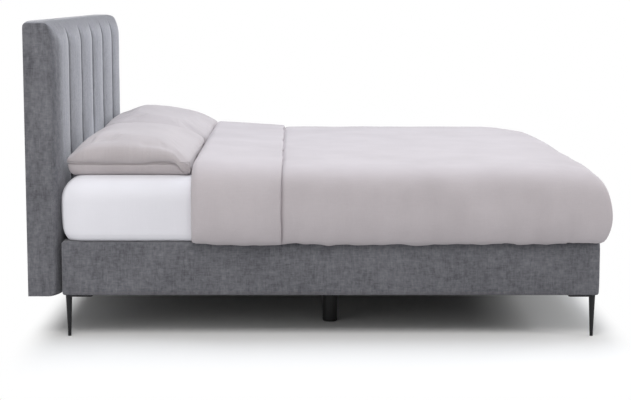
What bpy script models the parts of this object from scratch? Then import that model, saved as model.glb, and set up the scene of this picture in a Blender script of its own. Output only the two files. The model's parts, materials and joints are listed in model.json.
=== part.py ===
# Box spring bed, 1.80 m wide: two upholstered bases on steel legs, a headboard with upright
# channels, a mattress and its bedding. Metres, +Z up, +X to the foot end, -Y the near long side.
# The origin is on the floor, under the middle of the whole bed.

import math

import bmesh
import bpy

# Driving dimensions: plan and heights of the bed
BED_WIDTH = 1.80
BASE_LENGTH = 2.00
BASE_HEIGHT = 0.202
BASE_SEAM = 0.004          # between the two bases
UNDER_CLEARANCE = 0.157    # floor to the underside of the bases
FIT_GAP = 0.0003           # between two pieces that touch
CUT_OVERRUN = 0.004        # how far a cutter runs past the face it cuts

# Upholstered border of a base, and the cloths above and below
BORDER_THICKNESS = 0.012
BORDER_TOP_THICKNESS = 0.006
BORDER_TOP_WIDTH = 0.065
BORDER_HEM_THICKNESS = 0.002
BORDER_HEM_WIDTH = 0.030
BORDER_EDGE_RADIUS = 0.009
DUST_CLOTH_THICKNESS = 0.001
DUST_CLOTH_INSET = 0.016

# Timber frame of a base
RAIL_THICKNESS = 0.022
RAIL_HEIGHT = 0.090
LEG_BOARD_WIDTH = 0.110
LEG_BOARD_THICKNESS = 0.022
SLAT_WIDTH = 0.090
SLAT_THICKNESS = 0.015
SLAT_COUNT = 4

# Pocket springs, seen from above as a scalloped edge
POCKET_PITCH = 0.100
POCKET_SCALLOP = 0.009
POCKET_STEPS = 3

# Tapered steel leg on its plate
LEG_PLATE_SIZE = 0.100
LEG_PLATE_THICKNESS = 0.005
LEG_PLATE_CORNER = 0.012
LEG_PLATE_INSET = 0.010
LEG_TOP_DIAMETER = 0.024
LEG_TIP_DIAMETER = 0.012
SCREW_HOLE_DIAMETER = 0.0055
SCREW_HOLE_INSET = 0.014

# Round plastic support leg
SUPPORT_DIAMETER = 0.060
SUPPORT_EDGE_RADIUS = 0.006
SUPPORT_RIM_HEIGHT = 0.006
SUPPORT_RIM_STEP = 0.0015
SUPPORT_SIDE_INSET = 0.280   # its axis, in from the outer side of the base

# Steel plate that couples the bases over their seam
COUPLING_LENGTH = 0.180
COUPLING_WIDTH = 0.080
COUPLING_THICKNESS = 0.003
COUPLING_CORNER = 0.010

# Headboard
HEADBOARD_DROP = 0.003       # its underside, below that of the bases
HEADBOARD_HEIGHT = 1.011
HEADBOARD_DEPTH = 0.093      # thickness at the flat side
HEADBOARD_WALL = 0.016
HEADBOARD_BACK_ROUND = 0.012
HEADBOARD_FOOT_ROUND = 0.014
HEADBOARD_CROWN = 0.010
HEADBOARD_TOP_DEPTH = 0.062  # depth of the top behind the roll of the padding
PAD_RISE = 0.022             # seams of the padding, in front of the flat side
CHANNEL_RISE = 0.011         # crest of a channel, in front of its seams
CHANNEL_COUNT = 6
CHANNEL_STEPS = 6
SIDE_ROLL_WIDTH = 0.200
TOP_ROLL_HEIGHT = 0.105
SIDE_TOP_ROLL_HEIGHT = 0.018
SIDE_TOP_ROLL_DEPTH = 0.010
TOP_ROLL_STEPS = 5
POST_WIDTH = 0.060
POST_DEPTH = 0.058
FRONT_BOARD_THICKNESS = 0.004
BACK_CLOTH_THICKNESS = 0.0015

# Cranked steel strap under a base and the headboard
STRAP_WIDTH = 0.050
STRAP_THICKNESS = 0.003
STRAP_BASE_REACH = 0.110
STRAP_HEADBOARD_REACH = 0.100
STRAP_CRANK_START = 0.006
STRAP_CRANK_LENGTH = 0.014

# Mattress
MATTRESS_HEIGHT = 0.241
MATTRESS_CORNER = 0.085      # radius of a corner, from above
MATTRESS_INNER_CORNER = 0.008   # the least radius of a layer inside it
TOP_ROLL_WIDTH = 0.077
TOP_ROLL_FALL = 0.090
FOOT_ROLL_WIDTH = 0.031
FOOT_ROLL_RISE = 0.066
SHEET_THICKNESS = 0.0012
SHEET_HEM_WIDTH = 0.080
TICKING_THICKNESS = 0.003
ZIP_HEIGHT = 0.005
ZIP_LENGTH = 0.900
FOAM_THICKNESS = 0.040
FOAM_EDGE_GAP = 0.004
CORE_EDGE_INSET = 0.045
CORNER_STEPS = 6
ROLL_STEPS = 5

# Pillows
PILLOW_LENGTH = 0.710        # along the headboard
PILLOW_DEPTH = 0.473
PILLOW_THICKNESS = 0.166
PILLOW_SEAM_HEIGHT = 0.040   # of its side seam, above the mattress
PILLOW_HEAD_GAP = 0.012
PILLOW_SPREAD = 0.990        # between the middles of the two pillows
PILLOW_ROWS = 14
PILLOW_COLUMNS = 12

# Duvet
DUVET_HEAD_EDGE = 0.495      # from the head end of the bases
DUVET_BAND_WIDTH = 0.333
DUVET_BAND_STEP = 0.006
DUVET_LOFT = 0.034
DUVET_BAND_LOFT = 0.024      # added by the turned-down layer
DUVET_BAND_SIDE = 0.008
DUVET_SHOULDER = 0.120       # width of the rounded edge inside the mattress side
DUVET_REACH = 0.050          # how far it stands out past the bases
DUVET_CORNER_PUSH = 0.024
DUVET_CORNER_LIFT = 0.010    # its hem rises this much at the foot corners
DUVET_HEM_DROP = 0.007       # below the top of the bases
DUVET_SLACK = 0.008          # room over the rounded mattress edge
DUVET_FOLD = 0.006           # depth of the folds at the hem
DUVET_FOLD_PITCH = 0.460
DUVET_HEM_WAVE = 0.003
DUVET_WAVE_PITCH = 0.310
DUVET_CROWN = 0.010
DUVET_HEAD_ROUND = 0.040
DUVET_ROWS_ACROSS = 8
DUVET_COLUMNS_ALONG = 9

# Drop of the duvet's outer face: share of the reach, share of the height above the hem
DUVET_DROP_SHARES = ((0.0, 1.0), (0.36, 0.975), (0.62, 0.905), (0.81, 0.79),
                     (0.94, 0.62), (1.0, 0.385), (0.955, 0.165), (0.84, 0.0))
# Rounding of the duvet's head edge: share of the round's length, share of the full loft
DUVET_HEAD_SHARES = ((0.0, 0.55), (0.35, 0.9), (1.0, 1.0))
FOAM_RING_SHARES = (0, 0.25, 0.55, 1)
PILLOW_DRAW_SHARE = 0.05     # how far the sides pull in between the corners
PILLOW_SKEW_SHARE = 0.30     # how far the crown leans to the headboard

# Levels and places that follow from the sizes
BASE_WIDTH = (BED_WIDTH - BASE_SEAM) / 2
BASE_TOP = UNDER_CLEARANCE + BASE_HEIGHT
CREST_DEPTH = HEADBOARD_DEPTH + PAD_RISE + CHANNEL_RISE
HEAD_REACH = CREST_DEPTH + FIT_GAP
HEAD_X = HEAD_REACH - (HEAD_REACH + BASE_LENGTH + DUVET_REACH) / 2
FOOT_X = HEAD_X + BASE_LENGTH
MIDDLE_X = (HEAD_X + FOOT_X) / 2
BACK_X = HEAD_X - HEAD_REACH
DUST_BOTTOM = UNDER_CLEARANCE - FIT_GAP - DUST_CLOTH_THICKNESS
PLATE_TOP = DUST_BOTTOM - FIT_GAP
TIMBER_BOTTOM = UNDER_CLEARANCE + BORDER_HEM_THICKNESS + FIT_GAP
SLAT_BOTTOM = TIMBER_BOTTOM + RAIL_HEIGHT + FIT_GAP
SPRING_BOTTOM = SLAT_BOTTOM + SLAT_THICKNESS + FIT_GAP
SPRING_TOP = BASE_TOP - BORDER_TOP_THICKNESS - FIT_GAP
LEG_ROW_INSET = LEG_PLATE_INSET + LEG_TOP_DIAMETER / 2
HEADBOARD_BOTTOM = UNDER_CLEARANCE - HEADBOARD_DROP
HEADBOARD_TOP = HEADBOARD_BOTTOM + HEADBOARD_HEIGHT
MATTRESS_BOTTOM = BASE_TOP + FIT_GAP
MATTRESS_TOP = MATTRESS_BOTTOM + MATTRESS_HEIGHT
DUVET_BOTTOM = BASE_TOP - DUVET_HEM_DROP

HOLE_SIDES = 10
LEG_SIDES = 20
SUPPORT_SIDES = 24
EDGE_ROUND_STEPS = 3
MERGE_DISTANCE = 0.00005

SIDES = (("right", -1), ("left", 1))


# Scene, collections and materials

def empty_scene():
    for thing in list(bpy.data.objects):
        bpy.data.objects.remove(thing, do_unlink=True)


def new_collection(name):
    collection = bpy.data.collections.new(name)
    bpy.context.scene.collection.children.link(collection)
    return collection


empty_scene()
parts = new_collection("box_spring_bed")
cutters = new_collection("cutters")


def new_material(name, colour, roughness, metallic=0.0):
    material = bpy.data.materials.new(name)
    material.use_nodes = True
    shader = material.node_tree.nodes["Principled BSDF"]
    shader.inputs["Base Color"].default_value = (*colour, 1.0)
    shader.inputs["Roughness"].default_value = roughness
    shader.inputs["Metallic"].default_value = metallic
    return material


upholstery = new_material("grey_chenille", (0.155, 0.153, 0.172), 0.85)
top_fabric = new_material("non_slip_cloth", (0.045, 0.045, 0.050), 0.95)
dust_fabric = new_material("black_nonwoven", (0.015, 0.015, 0.016), 0.95)
black_steel = new_material("black_powder_coat", (0.020, 0.020, 0.022), 0.45, 0.3)
black_plastic = new_material("black_plastic", (0.014, 0.014, 0.015), 0.40)
zinc_steel = new_material("zinc_plated_steel", (0.55, 0.56, 0.58), 0.35, 1.0)
spruce = new_material("spruce", (0.55, 0.39, 0.22), 0.70)
hardboard = new_material("hardboard", (0.22, 0.13, 0.07), 0.75)
spring_fabric = new_material("spring_pocket_fabric", (0.70, 0.70, 0.68), 0.90)
foam = new_material("foam", (0.72, 0.64, 0.45), 0.95)
ticking = new_material("ticking", (0.68, 0.68, 0.66), 0.90)
sheet_cotton = new_material("white_cotton", (0.80, 0.80, 0.82), 0.85)
bed_linen = new_material("mauve_grey_cotton", (0.52, 0.49, 0.52), 0.85)


# Basic forms

def add_piece(name, build, material, place=(0, 0, 0), collection=parts):
    mesh = bpy.data.meshes.new(name)
    bmesh.ops.recalc_face_normals(build, faces=build.faces)
    build.to_mesh(mesh)
    build.free()
    piece = bpy.data.objects.new(name, mesh)
    piece.location = place
    collection.objects.link(piece)
    if material:
        mesh.materials.append(material)
    return piece


def block(name, low, high, material, collection=parts):
    # A box between two corners, its origin in its middle
    size = [high[axis] - low[axis] for axis in range(3)]
    middle = [(high[axis] + low[axis]) / 2 for axis in range(3)]
    build = bmesh.new()
    bmesh.ops.create_cube(build, size=1)
    bmesh.ops.scale(build, vec=size, verts=build.verts)
    return add_piece(name, build, material, middle, collection)


def loft(name, rings, material, place=(0, 0, 0), collection=parts):
    # A closed skin over rings of equally many points, capped at both ends
    build = bmesh.new()
    rows = [[build.verts.new(point) for point in ring] for ring in rings]
    count = len(rows[0])
    for row, following in zip(rows, rows[1:]):
        for index in range(count):
            after = (index + 1) % count
            build.faces.new((row[index], row[after], following[after], following[index]))
    build.faces.new(rows[0])
    build.faces.new(rows[-1])
    return add_piece(name, build, material, place, collection)


def prism(name, outline, bottom, top, material, collection=parts):
    # A flat outline pulled straight up
    build = bmesh.new()
    face = build.faces.new([build.verts.new((x, y, bottom)) for x, y in outline])
    pulled = bmesh.ops.extrude_face_region(build, geom=[face])["geom"]
    raised = [item for item in pulled if isinstance(item, bmesh.types.BMVert)]
    bmesh.ops.translate(build, vec=(0, 0, top - bottom), verts=raised)
    return add_piece(name, build, material, collection=collection)


def as_cutter(piece):
    piece.hide_render = True
    piece.display_type = "WIRE"
    return piece


def boolean(piece, other, operation):
    step = piece.modifiers.new(operation.lower(), "BOOLEAN")
    step.operation = operation
    step.object = as_cutter(other)


def cut(piece, cutter):
    boolean(piece, cutter, "DIFFERENCE")


def drill(piece, x, y, bottom, top):
    # A screw hole straight through a plate
    build = bmesh.new()
    depth = top - bottom + 2 * CUT_OVERRUN
    radius = SCREW_HOLE_DIAMETER / 2
    bmesh.ops.create_cone(build, cap_ends=True, segments=HOLE_SIDES, radius1=radius, radius2=radius, depth=depth)
    cut(piece, add_piece(piece.name + "_hole", build, None, (x, y, (top + bottom) / 2), cutters))


def rounded_rectangle(half_x, half_y, radius, steps):
    # Points of a rectangle with round corners, anticlockwise from above
    points = []
    for corner, (along, across) in enumerate(((1, 1), (-1, 1), (-1, -1), (1, -1))):
        for step in range(steps + 1):
            angle = (corner + step / steps) * math.pi / 2
            x = along * (half_x - radius) + radius * math.cos(angle)
            y = across * (half_y - radius) + radius * math.sin(angle)
            points.append((x, y))
    return points


# Bases

def base_middle(side):
    return side * (BASE_WIDTH + BASE_SEAM) / 2


def base_box(side, end_inset, side_inset):
    # Low and high corners, from above, of a base less an inset
    middle = base_middle(side)
    half = BASE_WIDTH / 2 - side_inset
    return (HEAD_X + end_inset, middle - half), (FOOT_X - end_inset, middle + half)


def base_border(word, side):
    low, high = base_box(side, 0, 0)
    border = block(word + "_base_border", (*low, UNDER_CLEARANCE), (*high, BASE_TOP), upholstery)
    edge = border.modifiers.new("soft_edges", "BEVEL")
    edge.width = BORDER_EDGE_RADIUS
    edge.segments = EDGE_ROUND_STEPS
    low, high = base_box(side, BORDER_THICKNESS, BORDER_THICKNESS)
    floor = UNDER_CLEARANCE + BORDER_HEM_THICKNESS
    ceiling = BASE_TOP - BORDER_TOP_THICKNESS
    cut(border, block(word + "_base_hollow", (*low, floor), (*high, ceiling), None, cutters))
    low, high = base_box(side, BORDER_TOP_WIDTH, BORDER_TOP_WIDTH)
    middle = (floor + ceiling) / 2
    top = BASE_TOP + CUT_OVERRUN
    cut(border, block(word + "_base_top_window", (*low, middle), (*high, top), None, cutters))
    low, high = base_box(side, BORDER_HEM_WIDTH, BORDER_HEM_WIDTH)
    bottom = UNDER_CLEARANCE - CUT_OVERRUN
    cut(border, block(word + "_base_under_window", (*low, bottom), (*high, middle), None, cutters))


def base_cloths(word, side):
    inset = BORDER_TOP_WIDTH + FIT_GAP
    low, high = base_box(side, inset, inset)
    ceiling = BASE_TOP - BORDER_TOP_THICKNESS
    block(word + "_base_top_cloth", (*low, ceiling), (*high, BASE_TOP), top_fabric)
    low, high = base_box(side, DUST_CLOTH_INSET, DUST_CLOTH_INSET)
    top = DUST_BOTTOM + DUST_CLOTH_THICKNESS
    block(word + "_base_dust_cloth", (*low, DUST_BOTTOM), (*high, top), dust_fabric)


def base_timbers(word, side):
    inset = BORDER_THICKNESS + FIT_GAP
    low, high = base_box(side, inset, inset)
    rail_top = TIMBER_BOTTOM + RAIL_HEIGHT
    names = ("outer", "inner") if side < 0 else ("inner", "outer")
    for name, y in zip(names, (low[1], high[1] - RAIL_THICKNESS)):
        block(f"{word}_base_{name}_rail", (low[0], y, TIMBER_BOTTOM),
              (high[0], y + RAIL_THICKNESS, rail_top), spruce)
    y_low = low[1] + RAIL_THICKNESS + FIT_GAP
    y_high = high[1] - RAIL_THICKNESS - FIT_GAP
    for name, x in (("head", low[0]), ("foot", high[0] - RAIL_THICKNESS)):
        block(f"{word}_base_{name}_rail", (x, y_low, TIMBER_BOTTOM),
              (x + RAIL_THICKNESS, y_high, rail_top), spruce)
    board_top = TIMBER_BOTTOM + LEG_BOARD_THICKNESS
    rail_step = RAIL_THICKNESS + FIT_GAP
    places = (("head", low[0] + rail_step), ("middle", MIDDLE_X - LEG_BOARD_WIDTH / 2),
              ("foot", high[0] - rail_step - LEG_BOARD_WIDTH))
    for name, x in places:
        block(f"{word}_base_{name}_leg_board", (x, y_low, TIMBER_BOTTOM),
              (x + LEG_BOARD_WIDTH, y_high, board_top), spruce)
    for number in range(SLAT_COUNT):
        x = HEAD_X + BASE_LENGTH * (number + 1) / (SLAT_COUNT + 1) - SLAT_WIDTH / 2
        block(f"{word}_base_slat_{number + 1}", (x, low[1], SLAT_BOTTOM),
              (x + SLAT_WIDTH, high[1], SLAT_BOTTOM + SLAT_THICKNESS), spruce)


def pocket_outline(low, high):
    # The edge of a spring unit from above: one bulge for each pocket
    corners = (low, (high[0], low[1]), high, (low[0], high[1]))
    inward = ((1, 1), (-1, 1), (-1, -1), (1, -1))
    starts = [(x + POCKET_SCALLOP * a, y + POCKET_SCALLOP * b) for (x, y), (a, b) in zip(corners, inward)]
    outline = []
    for index, start in enumerate(starts):
        end = starts[(index + 1) % len(starts)]
        run = (end[0] - start[0], end[1] - start[1])
        length = math.hypot(*run)
        outward = (run[1] / length, -run[0] / length)
        steps = max(1, round(length / POCKET_PITCH)) * POCKET_STEPS
        for step in range(steps):
            along = step / steps
            bulge = POCKET_SCALLOP * math.sin(math.pi * (step % POCKET_STEPS) / POCKET_STEPS)
            outline.append((start[0] + run[0] * along + outward[0] * bulge,
                            start[1] + run[1] * along + outward[1] * bulge))
    return outline


def base_springs(word, side):
    inset = BORDER_THICKNESS + FIT_GAP
    low, high = base_box(side, inset, inset)
    prism(word + "_base_spring_unit", pocket_outline(low, high), SPRING_BOTTOM, SPRING_TOP, spring_fabric)


def make_bases():
    for word, side in SIDES:
        base_border(word, side)
        base_cloths(word, side)
        base_timbers(word, side)
        base_springs(word, side)


# Legs and the plates that couple the bases

def steel_leg(name, end, side):
    # end is 1 at the foot and -1 at the head
    half = LEG_PLATE_SIZE / 2
    edge_x = FOOT_X if end > 0 else HEAD_X
    plate_x = edge_x - end * (LEG_PLATE_INSET + half)
    plate_y = side * (BED_WIDTH / 2 - LEG_PLATE_INSET - half)
    leg_x = edge_x - end * LEG_ROW_INSET
    leg_y = side * (BED_WIDTH / 2 - LEG_ROW_INSET)
    bottom = PLATE_TOP - LEG_PLATE_THICKNESS
    outline = rounded_rectangle(half, half, LEG_PLATE_CORNER, EDGE_ROUND_STEPS)
    outline = [(plate_x + x, plate_y + y) for x, y in outline]
    leg = prism(name, outline, bottom, PLATE_TOP, black_steel)
    height = bottom + LEG_PLATE_THICKNESS / 2
    build = bmesh.new()
    bmesh.ops.create_cone(build, cap_ends=True, segments=LEG_SIDES, radius1=LEG_TIP_DIAMETER / 2,
                          radius2=LEG_TOP_DIAMETER / 2, depth=height)
    boolean(leg, add_piece(name + "_spike", build, black_steel, (leg_x, leg_y, height / 2), cutters), "UNION")
    reach = half - SCREW_HOLE_INSET
    for along, across in ((-end, side), (end, -side), (-end, -side)):
        drill(leg, plate_x + along * reach, plate_y + across * reach, bottom, PLATE_TOP)


def support_leg(name, x, y, top):
    # A turned plastic cylinder with a rim at its top and a round edge at the floor
    radius = SUPPORT_DIAMETER / 2
    body = radius - SUPPORT_RIM_STEP
    profile = [(0, top), (radius, top), (radius, top - SUPPORT_RIM_HEIGHT), (body, top - SUPPORT_RIM_HEIGHT)]
    for step in range(EDGE_ROUND_STEPS + 1):
        angle = step / EDGE_ROUND_STEPS * math.pi / 2
        profile.append((body - SUPPORT_EDGE_RADIUS * (1 - math.cos(angle)),
                        SUPPORT_EDGE_RADIUS * (1 - math.sin(angle))))
    profile.append((0, 0))
    mesh = bpy.data.meshes.new(name)
    points = [(r, 0, z) for r, z in profile]
    edges = [(index, index + 1) for index in range(len(points) - 1)]
    mesh.from_pydata(points, edges, [])
    mesh.materials.append(black_plastic)
    leg = bpy.data.objects.new(name, mesh)
    leg.location = (x, y, 0)
    parts.objects.link(leg)
    turn = leg.modifiers.new("turned", "SCREW")
    turn.steps = SUPPORT_SIDES
    turn.render_steps = SUPPORT_SIDES
    turn.use_merge_vertices = True
    turn.merge_threshold = MERGE_DISTANCE


def coupling_plate(name, x):
    half_x = COUPLING_WIDTH / 2
    half_y = COUPLING_LENGTH / 2
    bottom = PLATE_TOP - COUPLING_THICKNESS
    outline = rounded_rectangle(half_x, half_y, COUPLING_CORNER, EDGE_ROUND_STEPS)
    plate = prism(name, [(x + a, b) for a, b in outline], bottom, PLATE_TOP, zinc_steel)
    for along in (-1, 1):
        for across in (-1, 1):
            drill(plate, x + along * (half_x - SCREW_HOLE_INSET), across * (half_y - SCREW_HOLE_INSET),
                  bottom, PLATE_TOP)


def make_legs():
    for word, side in SIDES:
        for end_word, end in (("head", -1), ("foot", 1)):
            steel_leg(f"{word}_{end_word}_steel_leg", end, side)
        y = side * (BED_WIDTH / 2 - SUPPORT_SIDE_INSET)
        support_leg(word + "_middle_support_leg", MIDDLE_X, y, PLATE_TOP)
    inset = LEG_PLATE_INSET + COUPLING_WIDTH / 2
    rows = (("head", HEAD_X + inset), ("middle", MIDDLE_X), ("foot", FOOT_X - inset))
    for word, x in rows:
        coupling_plate(word + "_coupling_plate", x)
        support_leg(word + "_centre_support_leg", x, 0, PLATE_TOP - COUPLING_THICKNESS - FIT_GAP)


# Headboard

def channel_rise(y):
    # Height of the padding over its seams, from one side of the headboard to the other
    width = BED_WIDTH / CHANNEL_COUNT
    place = ((y + BED_WIDTH / 2) / width) % 1
    return CHANNEL_RISE * math.sqrt(max(0, 1 - (2 * place - 1) ** 2))


def side_roll(y):
    # 0 at the flat side of the headboard, 1 where its padding is full
    inward = min(1, (BED_WIDTH / 2 - abs(y)) / SIDE_ROLL_WIDTH)
    return math.sqrt(max(0, 1 - (1 - inward) ** 2))


def headboard_section(y):
    # Outline of the upholstery in one upright plane, from its back foot round the front
    roll = side_roll(y)
    front = HEADBOARD_DEPTH + (PAD_RISE + channel_rise(y)) * roll
    top = HEADBOARD_TOP + HEADBOARD_CROWN * roll
    side_top_depth = HEADBOARD_DEPTH - SIDE_TOP_ROLL_DEPTH
    top_depth = side_top_depth + (HEADBOARD_TOP_DEPTH - side_top_depth) * roll
    fall = SIDE_TOP_ROLL_HEIGHT + (TOP_ROLL_HEIGHT - SIDE_TOP_ROLL_HEIGHT) * roll
    foot = HEADBOARD_BOTTOM + HEADBOARD_FOOT_ROUND
    points = [(0, HEADBOARD_BOTTOM), (front - HEADBOARD_FOOT_ROUND, HEADBOARD_BOTTOM), (front, foot)]
    for step in range(TOP_ROLL_STEPS + 1):
        angle = step / TOP_ROLL_STEPS * math.pi / 2
        points.append((top_depth + (front - top_depth) * math.cos(angle), top - fall * (1 - math.sin(angle))))
    points.append((HEADBOARD_BACK_ROUND, top))
    points.append((0, top - HEADBOARD_BACK_ROUND))
    return [(BACK_X + depth, y, z) for depth, z in points]


def headboard_upholstery():
    stations = CHANNEL_COUNT * CHANNEL_STEPS
    rings = [headboard_section(BED_WIDTH * (step / stations - 1 / 2)) for step in range(stations + 1)]
    cover = loft("headboard_channel_upholstery", rings, upholstery)
    depth = BACK_CLOTH_THICKNESS + POST_DEPTH + FRONT_BOARD_THICKNESS + 3 * FIT_GAP
    half = BED_WIDTH / 2 - HEADBOARD_WALL
    low = (BACK_X - CUT_OVERRUN, -half, HEADBOARD_BOTTOM + HEADBOARD_WALL)
    high = (BACK_X + depth, half, HEADBOARD_TOP - HEADBOARD_WALL)
    cut(cover, block("headboard_hollow", low, high, None, cutters))


def headboard_frame():
    half = BED_WIDTH / 2 - HEADBOARD_WALL - FIT_GAP
    bottom = HEADBOARD_BOTTOM + HEADBOARD_WALL + FIT_GAP
    top = HEADBOARD_TOP - HEADBOARD_WALL - FIT_GAP
    back = BACK_X + BACK_CLOTH_THICKNESS + FIT_GAP
    front = back + POST_DEPTH
    inner = half - POST_WIDTH
    block("headboard_right_post", (back, -half, bottom), (front, -inner, top), spruce)
    block("headboard_left_post", (back, inner, bottom), (front, half, top), spruce)
    reach = inner - FIT_GAP
    block("headboard_bottom_rail", (back, -reach, bottom), (front, reach, bottom + POST_WIDTH), spruce)
    block("headboard_top_rail", (back, -reach, top - POST_WIDTH), (front, reach, top), spruce)
    low = bottom + POST_WIDTH + FIT_GAP
    high = top - POST_WIDTH - FIT_GAP
    block("headboard_centre_post", (back, -POST_WIDTH / 2, low), (front, POST_WIDTH / 2, high), spruce)
    face = front + FIT_GAP
    block("headboard_front_board", (face, -half, bottom), (face + FRONT_BOARD_THICKNESS, half, top), hardboard)
    block("headboard_back_cloth", (BACK_X, -half, bottom), (BACK_X + BACK_CLOTH_THICKNESS, half, top), dust_fabric)


def strap(name, y):
    # A flat bar under the base, cranked down to pass under the headboard
    high = PLATE_TOP
    low = HEADBOARD_BOTTOM - FIT_GAP
    crank = HEAD_X + STRAP_CRANK_START
    crank_end = crank + STRAP_CRANK_LENGTH
    upper = [(HEAD_X - STRAP_HEADBOARD_REACH, low), (crank, low), (crank_end, high),
             (HEAD_X + STRAP_BASE_REACH, high)]
    lower = [(x, z - STRAP_THICKNESS) for x, z in reversed(upper)]
    ends = (y - STRAP_WIDTH / 2, y + STRAP_WIDTH / 2)
    rings = [[(x, end, z) for x, z in upper + lower] for end in ends]
    bar = loft(name, rings, zinc_steel)
    quarter = STRAP_WIDTH / 4
    for x, top in ((upper[0][0] + SCREW_HOLE_INSET, low), (upper[3][0] - SCREW_HOLE_INSET, high)):
        for offset in (-quarter, quarter):
            drill(bar, x, y + offset, top - STRAP_THICKNESS, top)


def make_headboard():
    headboard_upholstery()
    headboard_frame()
    for word, side in SIDES:
        strap(word + "_headboard_strap", base_middle(side))


# Mattress

def mattress_ring(inset, z):
    half_x = BASE_LENGTH / 2 - inset
    half_y = BED_WIDTH / 2 - inset
    radius = max(MATTRESS_CORNER - inset, MATTRESS_INNER_CORNER)
    outline = rounded_rectangle(half_x, half_y, radius, CORNER_STEPS)
    return [(MIDDLE_X + x, y, z) for x, y in outline]


def mattress_rings(layer):
    # Rings of the mattress form from its underside to its top, a layer's depth under the outside
    rings = []
    bottom = MATTRESS_BOTTOM + layer
    top = MATTRESS_TOP - layer
    for step in range(ROLL_STEPS + 1):
        angle = step / ROLL_STEPS * math.pi / 2
        inset = FOOT_ROLL_WIDTH - (FOOT_ROLL_WIDTH - layer) * math.sin(angle)
        rise = (FOOT_ROLL_RISE - layer) * (1 - math.cos(angle))
        rings.append(mattress_ring(inset, bottom + rise))
    for step in range(ROLL_STEPS + 1):
        angle = step / ROLL_STEPS * math.pi / 2
        inset = TOP_ROLL_WIDTH - (TOP_ROLL_WIDTH - layer) * math.cos(angle)
        fall = (TOP_ROLL_FALL - layer) * (1 - math.sin(angle))
        rings.append(mattress_ring(inset, top - fall))
    return rings


def fitted_sheet():
    outside = mattress_rings(0)
    inside = mattress_rings(SHEET_THICKNESS)
    hem = FOOT_ROLL_WIDTH + SHEET_HEM_WIDTH
    outside.insert(0, mattress_ring(hem, MATTRESS_BOTTOM))
    inside.insert(0, mattress_ring(hem, MATTRESS_BOTTOM + SHEET_THICKNESS))
    loft("fitted_sheet", inside[::-1] + outside, sheet_cotton)


def mattress_cover():
    outer = SHEET_THICKNESS + FIT_GAP
    cover = loft("mattress_cover", mattress_rings(outer), ticking)
    hollow = loft("mattress_hollow", mattress_rings(outer + TICKING_THICKNESS), None, collection=cutters)
    cut(cover, hollow)
    middle = (MATTRESS_BOTTOM + MATTRESS_TOP) / 2
    half = ZIP_LENGTH / 2
    low = (FOOT_X - TOP_ROLL_WIDTH, -half, middle - ZIP_HEIGHT / 2)
    high = (FOOT_X + CUT_OVERRUN, half, middle + ZIP_HEIGHT / 2)
    cut(cover, block("zip_slot", low, high, None, cutters))


def roll_inset(width, fall, depth):
    # How far a rounded edge pulls in, at a depth from the face where it ends
    share = max(0, 1 - depth / fall)
    return width * (1 - math.sqrt(1 - share ** 2))


def mattress_foam(name, face, inward, width, fall, layer):
    # A foam layer against the top or the underside, its edge rounded like the ticking over it
    rings = []
    for share in FOAM_RING_SHARES:
        depth = FOAM_THICKNESS * share
        inset = layer + FOAM_EDGE_GAP + roll_inset(width - layer, fall - layer, depth)
        rings.append(mattress_ring(inset, face + inward * depth))
    loft(name, rings, foam)


def mattress_filling():
    layer = SHEET_THICKNESS + TICKING_THICKNESS + 2 * FIT_GAP
    bottom = MATTRESS_BOTTOM + layer
    top = MATTRESS_TOP - layer
    mattress_foam("mattress_bottom_foam", bottom, 1, FOOT_ROLL_WIDTH, FOOT_ROLL_RISE, layer)
    mattress_foam("mattress_top_foam", top, -1, TOP_ROLL_WIDTH, TOP_ROLL_FALL, layer)
    half_x = BASE_LENGTH / 2 - layer - CORE_EDGE_INSET
    half_y = BED_WIDTH / 2 - layer - CORE_EDGE_INSET
    springs = pocket_outline((MIDDLE_X - half_x, -half_y), (MIDDLE_X + half_x, half_y))
    prism("mattress_spring_core", springs, bottom + FOAM_THICKNESS + FIT_GAP,
          top - FOAM_THICKNESS - FIT_GAP, spring_fabric)


def make_mattress():
    fitted_sheet()
    mattress_cover()
    mattress_filling()


# Pillows

def pillow_fullness(u, v):
    # 0 along the seam and 1 in the middle; u runs to the foot end, v along the headboard
    across = math.sqrt(max(0, 1 - u ** 4))
    along = math.sqrt(max(0, 1 - v ** 4))
    return across * along


def pillow_point(u, v, upper):
    x = PILLOW_DEPTH / 2 * u * (1 - PILLOW_DRAW_SHARE * (1 - v ** 2))
    y = PILLOW_LENGTH / 2 * v * (1 - PILLOW_DRAW_SHARE * (1 - u ** 2))
    fullness = pillow_fullness(u, v)
    if upper:
        lean = 1 - PILLOW_SKEW_SHARE * u * (1 - u ** 2)
        rise = (PILLOW_THICKNESS - PILLOW_SEAM_HEIGHT) * fullness * lean / (1 + PILLOW_SKEW_SHARE / 4)
        z = PILLOW_SEAM_HEIGHT + rise
    else:
        z = PILLOW_SEAM_HEIGHT * (1 - min(1, 2 * fullness)) + FIT_GAP
    return x, y, z


def pillow(name, x, y):
    # Two grids, the upper and the lower face, that share their rim
    build = bmesh.new()
    faces = []
    for upper in (True, False):
        grid = bmesh.ops.create_grid(build, x_segments=PILLOW_COLUMNS, y_segments=PILLOW_ROWS, size=1)["verts"]
        for vert in grid:
            u = math.sin(vert.co.x * math.pi / 2)
            v = math.sin(vert.co.y * math.pi / 2)
            vert.co = pillow_point(u, v, upper)
        faces.append(grid)
    for vert in faces[1]:
        if vert.is_boundary:
            vert.co.z = PILLOW_SEAM_HEIGHT
    bmesh.ops.remove_doubles(build, verts=build.verts, dist=MERGE_DISTANCE)
    add_piece(name, build, bed_linen, (x, y, MATTRESS_TOP))


def make_pillows():
    x = HEAD_X + PILLOW_HEAD_GAP + PILLOW_DEPTH / 2
    for word, side in SIDES:
        pillow(word + "_pillow", x, side * PILLOW_SPREAD / 2)


# Duvet

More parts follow.
